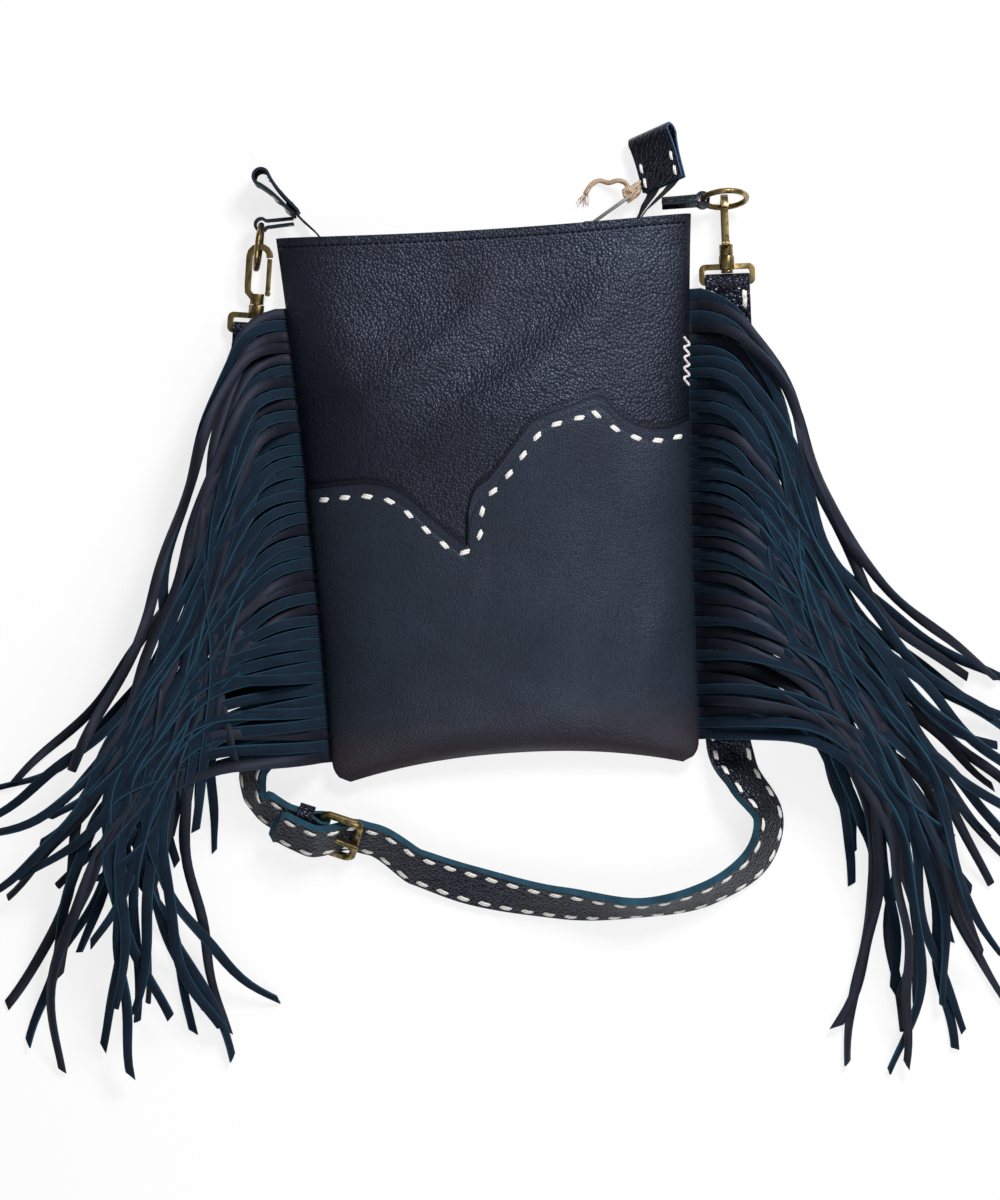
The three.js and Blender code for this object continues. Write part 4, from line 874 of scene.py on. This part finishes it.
# %% Ring tabs
RINGS = {
    "left": {"wire": (-126.1, 162.9, 14.7), "along": (0, 0, 1), "legs": (1, 0.05, 0),
             "reach": 18.5},
    "right": {"wire": (125.1, 161.2, 18.2), "along": (0, 0.292, 0.956), "legs": (-1, -0.02, 0),
              "reach": 23},
}
RING_WIRE, RING_ROOM, RING_TAB_WIDTH = 1.8, 0.9, 8
wrap = RING_WIRE + RING_ROOM + PANEL / 2
for side, ring in RINGS.items():
    line = [(ring["reach"], PANEL / 2 + TAPE), (wrap * 1.5, PANEL / 2 + TAPE + 0.2)]
    for i in range(9):
        angle = 0.6 + i / 8 * (2 * math.pi - 1.2)
        line.append((math.cos(angle) * wrap, math.sin(angle) * wrap))
    line += [(wrap * 1.5, -PANEL / 2 - TAPE - 0.2), (ring["reach"], -PANEL / 2 - TAPE)]
    matrix = place_matrix(ring["wire"], ring["legs"], ring["along"])
    folded(f"ring_tab_leather_{side}", line, RING_TAB_WIDTH, PANEL, matrix,
           [tab_grain, inked_edge], [f"ring_tab_{side}"], edge=0.3)

# %% [markdown]
# ## The metal parts
# The cast parts keep the shape of their solids. A copy of each solid is merged, its hard
# edges are rounded as a tumbled casting's are, and the rings are turned smooth by a
# subdivision, because a ring is the one part whose facets would catch the eye.

# %% Metal parts
def cast_copy(name, source, body, finish, edge=0.0, smooth_levels=0):
    copy = bmesh.new()
    copy.from_mesh(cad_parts[source].data)
    bmesh.ops.remove_doubles(copy, verts=copy.verts, dist=1e-6)
    bmesh.ops.dissolve_limit(copy, angle_limit=math.radians(1), verts=copy.verts, edges=copy.edges)
    for face in copy.faces:
        face.smooth = True
    made = finish_piece(name, copy, [finish], body, [source])
    if edge:
        round_edge(made, edge, 3)
    if smooth_levels:
        subdivide = made.modifiers.new("turned", "SUBSURF")
        subdivide.levels = subdivide.render_levels = smooth_levels
    return made


for side in ("left", "right"):
    cast_copy(f"ring_brass_{side}", f"ring_{side}", f"{side}_ring", brass,
              smooth_levels=2)
    for part, body, edge in (("hook", f"{side}_hook", 0.6), ("gate", f"{side}_gate", 0.4),
                             ("loop", "bag", 0.6)):
        cast_copy(f"snap_{part}_brass_{side}", f"snap_{part}_{side}", body, brass,
                  edge)
cast_copy("buckle_brass", "buckle_frame", "bag", brass, 0.5)
cast_copy("prong_brass", "buckle_prong", "prong", brass, 0.5)
cast_copy("slider_nickel", "zip_slider", "slider", nickel, 0.3)
cast_copy("puller_nickel", "zip_puller", "puller", nickel, 0.35)
for row in ("front", "back"):
    cast_copy(f"teeth_nickel_{row}", f"zip_teeth_{row}", "bag", nickel, 0.15)
    cast_copy(f"tape_woven_{row}", f"zip_tape_{row}", "bag", tape_weave, 0.15)

# %% [markdown]
# ## Lacing and twine
# A short run of white lacing closes the right seam, and a tail of jute twine is knotted
# through the zip puller. A cord is a grid rolled into a tube. Three lobes wind round it, as
# three strands do.

# %% Cord builder
def tube(bm, points, radius, turns=0.0, sides=15):
    lay = lay_layer(bm)
    ring_count = len(points)
    start = len(bm.verts)
    aside = Vector((0, 0, 1))
    rings = []
    for i, point in enumerate(points):
        along = (points[min(i + 1, ring_count - 1)] - points[max(i - 1, 0)]).normalized()
        aside = (aside - along * aside.dot(along)).normalized()
        across = along.cross(aside)
        ring = bmesh.ops.create_circle(bm, segments=sides, radius=1.0)["verts"]
        for v in ring:
            angle = math.atan2(v.co.y, v.co.x)
            lobe = radius * (0.84 + 0.16 * math.cos(3 * angle + turns * i))
            v.co = (point + aside * math.cos(angle) * lobe + across * math.sin(angle) * lobe) * MM
        rings.append(ring)
    edges = [list({e for v in ring for e in v.link_edges}) for ring in rings]
    for first, second in zip(edges, edges[1:]):
        bmesh.ops.bridge_loops(bm, edges=first + second)
    for ends in (edges[0], edges[-1]):
        bmesh.ops.edgeloop_fill(bm, edges=ends)
    bm.verts.ensure_lookup_table()
    faces = list({f for v in bm.verts[start:] for f in v.link_faces})
    bmesh.ops.recalc_face_normals(bm, faces=faces)
    for face in faces:
        face.smooth = len(face.verts) < sides
        for loop in face.loops:
            loop[lay].uv = (loop.vert.co.x + loop.vert.co.z, loop.vert.co.y)


def spline(points, count):
    return [curve_point([Vector(p) for p in points], i / count) for i in range(count + 1)]


# %% Lacing
bm = bmesh.new()
LACE_FOOT, LACE_STEP, LACE_LIFT, LACE_RADIUS = 57, 2.9, 1.2, 0.85
zigzag = [front_point(0.972 if i % 2 else 0.998, LACE_FOOT + LACE_STEP * i + (1.2 if i % 2 else 0),
                      LACE_LIFT) for i in range(10)]
tube(bm, spline(zigzag, 80), LACE_RADIUS, 0.5, 9)
finish_piece("seam_lacing", bm, [white_thread], "bag")

# %% Twine
TWINE = ((81.8, 165.9, 11.6), (83.8, 170, 12.8), (82.6, 174, 11.6), (78.6, 176, 8.4),
         (73, 175.8, 4.8), (67.6, 177.2, 2.6), (62.8, 175.4, 2), (59.4, 170, 1.9))
TWINE_RADIUS, TWINE_TWIST, FRAYED_STRANDS, STRAND_RADIUS = 1.6, 0.55, 16, 0.24
twine_path = spline(TWINE, 40)
bm = bmesh.new()
tube(bm, twine_path, TWINE_RADIUS, TWINE_TWIST)
twine = finish_piece("puller_twine", bm, [jute], "puller")
bm = bmesh.new()
for loop in (
        ((81.6, 165.9, 11.6), (84, 169.2, 12.2), (88.4, 172, 12), (89.6, 170, 11.6),
         (86, 165.8, 12), (82.3, 164.1, 11.6)),
        ((83.2, 168.2, 13), (87, 171.4, 13.8), (91, 174.3, 11.5), (95.4, 177, 8), (98.6, 178.6, 5)),
        ((80.6, 169.2, 13.4), (83.4, 170.6, 14.6), (86, 168.6, 14.4), (84, 166.2, 13.6),
         (81.6, 167.4, 13), (82.6, 170.6, 12.8))):
    tube(bm, spline(loop, 30), TWINE_RADIUS * 1.1, TWINE_TWIST, 12)
chance = random.Random(5)
TWINE_END = Vector(TWINE[-1])
for _ in range(FRAYED_STRANDS):
    end = TWINE_END + Vector((chance.uniform(-6, 1.5), chance.uniform(-7, -1),
                              chance.uniform(-1.2, 2)))
    bend = TWINE_END.lerp(end, 0.5) + Vector((chance.uniform(-1, 1), chance.uniform(-1, 1), 0.3))
    tube(bm, spline((TWINE_END + Vector((0.6, 1.2, 0)), bend, end), 5), STRAND_RADIUS, 0, 5)
knot = finish_piece("twine_knot", bm, [jute], "puller")

# %% [markdown]
# ## The fringe
# Each side seam holds forty strips cut from one piece of split leather. They leave the seam
# side by side, swing down together and cross over each other as they fall apart. Every strip
# is walked along a plan of headings, turned about its own length as limp leather does, and
# laid on whatever already lies under it, which a map of heights remembers up to a limit. A
# shorter second row lies below the first and shows dark between its strips. That row is a
# guess, and the solids don't have it.

# %% Fringe plan
STRIPS, STRIP_LENGTH, ROOT_STEP, ROOT_OUT, STACK_STEP = 40, 280, 6, 1.5, 11
FINE_STEPS, CUP, STEEPER, WAVE_SWING, TURN = 44, 0.4, 7, 7, 6.28
UNDER_STRIPS, UNDER_LENGTH, UNDER_Z = STRIPS - 1, 165, HEADER_Z - STRIP_THICKNESS - 0.2
PILE_LIMIT, HARDWARE_POINTS, UNDER_UP, TOP_UP = 44, 4, 0.85, 0.68
KEY_POINTS = (0, 0.12, 0.35, 0.65, 1)
LOCKS = {
    -1: ((0, 80, 28, 15, 9, 30), (0.1, 80, 26, 16, 12, 24), (0.2, 80, 24, 20, 24, 40),
         (0.3, 80, 28, 24, 30, 74), (0.42, 80, 40, 26, 34, 58), (0.55, 80, 45, 30, 26, 30),
         (0.68, 85, 60, 24, 6, 2), (0.8, 88, 85, 42, -18, -36), (0.9, 90, 90, 48, -8, 20),
         (1, 92, 95, 68, 30, 18)),
    1: ((0, 72, 36, 4, 28, 50), (0.1, 80, 34, 8, 26, 42), (0.2, 80, 32, 10, 34, 52),
        (0.3, 80, 34, 20, 36, 62), (0.42, 80, 40, 26, 38, 50), (0.55, 80, 45, 34, 36, 30),
        (0.68, 85, 55, 30, 22, 10), (0.8, 88, 65, 36, 0, -12), (0.9, 90, 75, 34, 2, 20),
        (1, 92, 90, 44, 10, -4)),
}
SWAY, DRIFT = (6, 7, 9, 12, 22), (0, -3, 8, -10, 14)


def keyed(values, share):
    i = max(k for k in range(len(KEY_POINTS) - 1) if KEY_POINTS[k] <= share or k == 0)
    return mix(values[i], values[i + 1], smooth(share, KEY_POINTS[i], KEY_POINTS[i + 1]))


def lock_at(locks, place):
    i = 0
    while i < len(locks) - 2 and place > locks[i + 1][0]:
        i += 1
    share = (place - locks[i][0]) / (locks[i + 1][0] - locks[i][0])
    return [mix(a, b, share) for a, b in zip(locks[i][1:], locks[i + 1][1:])]


def strip_plan(side, k, steeper):
    place, whole = k / (STRIPS - 1), int(k)
    golden, silver = (whole * 0.618034 % 1) * 2 - 1, (whole * 0.754877 % 1) * 2 - 1
    lock = lock_at(LOCKS[side], place)
    headings = [value + golden * SWAY[i] + silver * DRIFT[i] - steeper * (0 < i < 3)
                for i, value in enumerate(lock)]
    y = mix(LEFT_TOP_Y if side < 0 else RIGHT_TOP_Y, FRINGE_END_Y, place)
    seam = side * half_width(y)
    points = [Vector((seam + side * ROOT_OUT, y, 0)), Vector((seam + side * ROOT_STEP, y, 0))]
    wave, phase = 2 + whole * 0.4142 % 1 * 2.5, whole * 0.7321 % 1 * TURN
    length = STRIP_LENGTH if k == whole else UNDER_LENGTH
    step = (length - ROOT_STEP) / FINE_STEPS
    for i in range(FINE_STEPS):
        share = (i + 0.5) / FINE_STEPS * length / STRIP_LENGTH
        ripple = WAVE_SWING * smooth(share, 0.1, 0.5) * math.sin(share * wave * TURN + phase)
        heading = math.radians(keyed(headings, share) + ripple)
        last = points[-1]
        points.append(last + Vector((side * math.sin(heading) * step,
                                     -math.cos(heading) * step, 0)))
    return points


# %% Height map
CELL = 2
heights = {}


def cells_between(a, b, width):
    along = Vector((b.x - a.x, b.y - a.y, 0))
    count = max(math.ceil(along.length / CELL), 1)
    aside = Vector((-along.y, along.x, 0)).normalized()
    lanes = max(math.ceil(width / CELL), 2)
    for i in range(count + 1):
        for lane in range(lanes + 1):
            spot = a.lerp(b, i / count) + aside * (lane / lanes - 0.5) * width
            yield (round(spot.x / CELL), round(spot.y / CELL)), i / count


def stamp(a, b, width, top_a, top_b):
    for cell, share in cells_between(a, b, width):
        heights[cell] = max(heights.get(cell, 0), mix(top_a, top_b, share))


for route in (long_route, short_route):
    for (a, _), (b, aside) in zip(route, route[1:]):
        rise = abs(aside.z)
        level = math.sqrt(1 - rise * rise)
        top = (STRAP_WIDTH * rise + STRAP_THICKNESS * level) / 2
        stamp(a, b, STRAP_WIDTH * level + STRAP_THICKNESS + 1, a.z + top, b.z + top)
for hook in HOOKS.values():
    bar = hook["swivel"] + hook["nose"] * (LOOP_BAR_Y + 6)
    stamp(bar, hook["swivel"] + hook["nose"] * (LOOP_BAR_Y - 9.5), STRAP_WIDTH + 4,
          hook["swivel"].z + 5, hook["swivel"].z + 5)
    stamp(hook["swivel"], bar, 10, hook["swivel"].z + 5, hook["swivel"].z + 5)
stamp(buckle_point(-13, 0), buckle_point(13, 0), 26, 31, 31)
hardware = dict(heights)


def lay(points, rolls, root_z):
    """Rests a strip on what lies under it, then lets it bridge the hollows as leather does.
    Beside the seam the strips are still parallel, so there only the metal and straps count."""
    floor = []
    for i, point in enumerate(points):
        before, after = points[max(i - 1, 0)], points[min(i + 1, len(points) - 1)]
        laid = heights if i > HARDWARE_POINTS else hardware
        under = max(laid.get(cell, 0)
                    for cell, _ in cells_between(before.lerp(point, 0.3), point, STRIP_WIDTH))
        ahead = max(laid.get(cell, 0)
                    for cell, _ in cells_between(point, point.lerp(after, 0.7), STRIP_WIDTH))
        tilt = abs(math.sin(rolls[i])) * STRIP_WIDTH * 0.44
        floor.append(min(max(under, ahead), PILE_LIMIT) + CLEARANCE + STRIP_THICKNESS / 2 + tilt)
    floor[0] = floor[1] = root_z
    level = list(floor)
    for order in (range(1, len(level)), range(len(level) - 2, 1, -1)):
        for i in order:
            other = level[i - 1] if order.step == 1 else level[i + 1]
            level[i] = max(level[i], other - min(0.5 + 0.35 * i, 2.6))
    for _ in range(3):
        inner = [(level[i - 1] + 2 * level[i] + level[i + 1]) / 4 for i in range(1, len(level) - 1)]
        level = [level[0], *[max(a, b) for a, b in zip(inner, floor[1:-1])], level[-1]]
    for i, point in enumerate(points):
        point.z = level[i] if i > 1 else root_z + (0 if i == 0 else 0.3 * (level[2] - root_z))
    for i, (a, b) in enumerate(zip(points, points[1:])):
        tilt = abs(math.sin(rolls[i])) * STRIP_WIDTH * 0.3
        half = STRIP_THICKNESS / 2
        stamp(a, b, STRIP_WIDTH - 1, a.z + half + tilt, b.z + half + tilt)


# %% Fringe
def strip_into(bm, side, k, chance, root_z, suede_up, steeper=0.0):
    points = strip_plan(side, k, steeper)
    swing, turns, phase = chance.uniform(8, 52), chance.uniform(0.8, 2.2), chance.uniform(0, TURN)
    last = len(points) - 1
    rolls = [math.radians(swing) * smooth(i / last, 0.03, 0.25)
             * math.sin(i / last * turns * TURN + phase) for i in range(last + 1)]
    lay(points, rolls, root_z)
    root = points[0] - Vector((side * (5 if root_z == HEADER_Z else 2.5), 0, 0))
    points.insert(0, root)
    rolls.insert(0, 0.0)
    asides = []
    for i, point in enumerate(points):
        before, after = points[max(i - 1, 0)], points[min(i + 1, len(points) - 1)]
        asides.append(leaning_aside((after - before).normalized(), rolls[i]))
    slant, taper = chance.uniform(-3.5, 3.5), chance.uniform(0.55, 0.95)
    width = STRIP_WIDTH * chance.uniform(0.88, 1.02)

    def place(a, b):
        i = round(b * (len(points) - 1))
        narrow = mix(1, taper, smooth(b, 0.8, 1))
        along = (points[i] - points[max(i - 1, 0)]).normalized() if i else asides[i]
        cup = asides[i].cross(along) * -CUP
        spot = points[i] + asides[i] * (a - 0.5) * width * narrow + cup * (1 - 4 * (a - 0.5) ** 2)
        if i == len(points) - 1:
            spot = spot + (points[i] - points[i - 1]).normalized() * slant * (a - 0.5) * 2
        return spot

    grid(bm, 2, len(points) - 1, place, (STRIP_WIDTH, STRIP_LENGTH),
         flip=chance.random() < suede_up)


def fringe(side, name, node_name):
    chance = random.Random(11 if side < 0 else 23)
    bm = bmesh.new()
    for n in range(UNDER_STRIPS):
        k = (n * STACK_STEP) % UNDER_STRIPS + 0.5
        strip_into(bm, side, k, chance, UNDER_Z, UNDER_UP, STEEPER)
    for n in range(STRIPS):
        strip_into(bm, side, (n * STACK_STEP) % STRIPS, chance, HEADER_Z, TOP_UP)
    top = LEFT_TOP_Y if side < 0 else RIGHT_TOP_Y

    def header(a, b):
        y = mix(FRINGE_END_Y - STRIP_WIDTH / 2, top + STRIP_WIDTH / 2, b)
        reach = mix(-9, -3.6, a if side > 0 else 1 - a)
        return (side * (half_width(y) + reach), y, HEADER_Z)

    grid(bm, 3, 60, header, (12, 250))
    made = finish_piece(name, bm, [suede_flesh, strip_grain, cut_edge], "bag", [node_name])
    return thicken(made, STRIP_THICKNESS, 0, 0.3, back=1, rim=2)


for side, word in ((-1, "left"), (1, "right")):
    made = fringe(side, f"suede_fringe_{word}", f"fringe_{word}")
    bevel = made.modifiers["slicked_edge"]
    bevel.segments, bevel.harden_normals = 1, False
    top = round(max(heights.values()), 1)
    print(made.name, len(made.data.polygons), "faces before thickness, top at", top, "mm")

# %% [markdown]
# ## Floor and light
# The floor is white. Camera rays see it partly as a plain white, so the background stays
# clean and the shadow stays soft. One large lamp and a pale sky light the leather.

# %% Floor
bm = bmesh.new()
bmesh.ops.create_grid(bm, x_segments=1, y_segments=1, size=4)
floor_mesh = bpy.data.meshes.new("floor")
bm.to_mesh(floor_mesh)
bm.free()
floor = bpy.data.objects.new("floor", floor_mesh)
bpy.context.scene.collection.objects.link(floor)
white, tree, shader = start_material("white_table", 0.9)
shader.inputs["Base Color"].default_value = colour("#f6f6f6")
seen = node(tree, "LightPath")
glow = node(tree, "Emission", {"Color": (1, 1, 1, 1), "Strength": 1.0})
part = node(tree, "Math", {0: seen.outputs["Is Camera Ray"], 1: 0.8}, operation="MULTIPLY")
both = node(tree, "MixShader", {0: part.outputs[0], 1: shader.outputs[0], 2: glow.outputs[0]})
tree.links.new(both.outputs[0], tree.nodes["Material Output"].inputs["Surface"])
floor_mesh.materials.append(white)


# %% Light
def soft_box(name, place, aim, size, watts):
    lamp = bpy.data.lights.new(name, "AREA")
    lamp.shape, lamp.size, lamp.energy = "SQUARE", size, watts
    box = bpy.data.objects.new(name, lamp)
    bpy.context.scene.collection.objects.link(box)
    box.location = place
    box.rotation_euler = (Vector(aim) - Vector(place)).to_track_quat("-Z", "Y").to_euler()


soft_box("window", (0.66, 0.92, 1.28), (0, 0, 0), 0.5, 30)
soft_box("fill", (0.30, -1.0, 1.2), (0, -0.05, 0), 0.8, 9)
world = bpy.data.worlds.new("sky")
world.use_nodes = True
bpy.context.scene.world = world
tree = world.node_tree
sky = tree.nodes["Background"]
sky.inputs["Color"].default_value = (1, 1, 1, 1)
sky.inputs["Strength"].default_value = 0.22
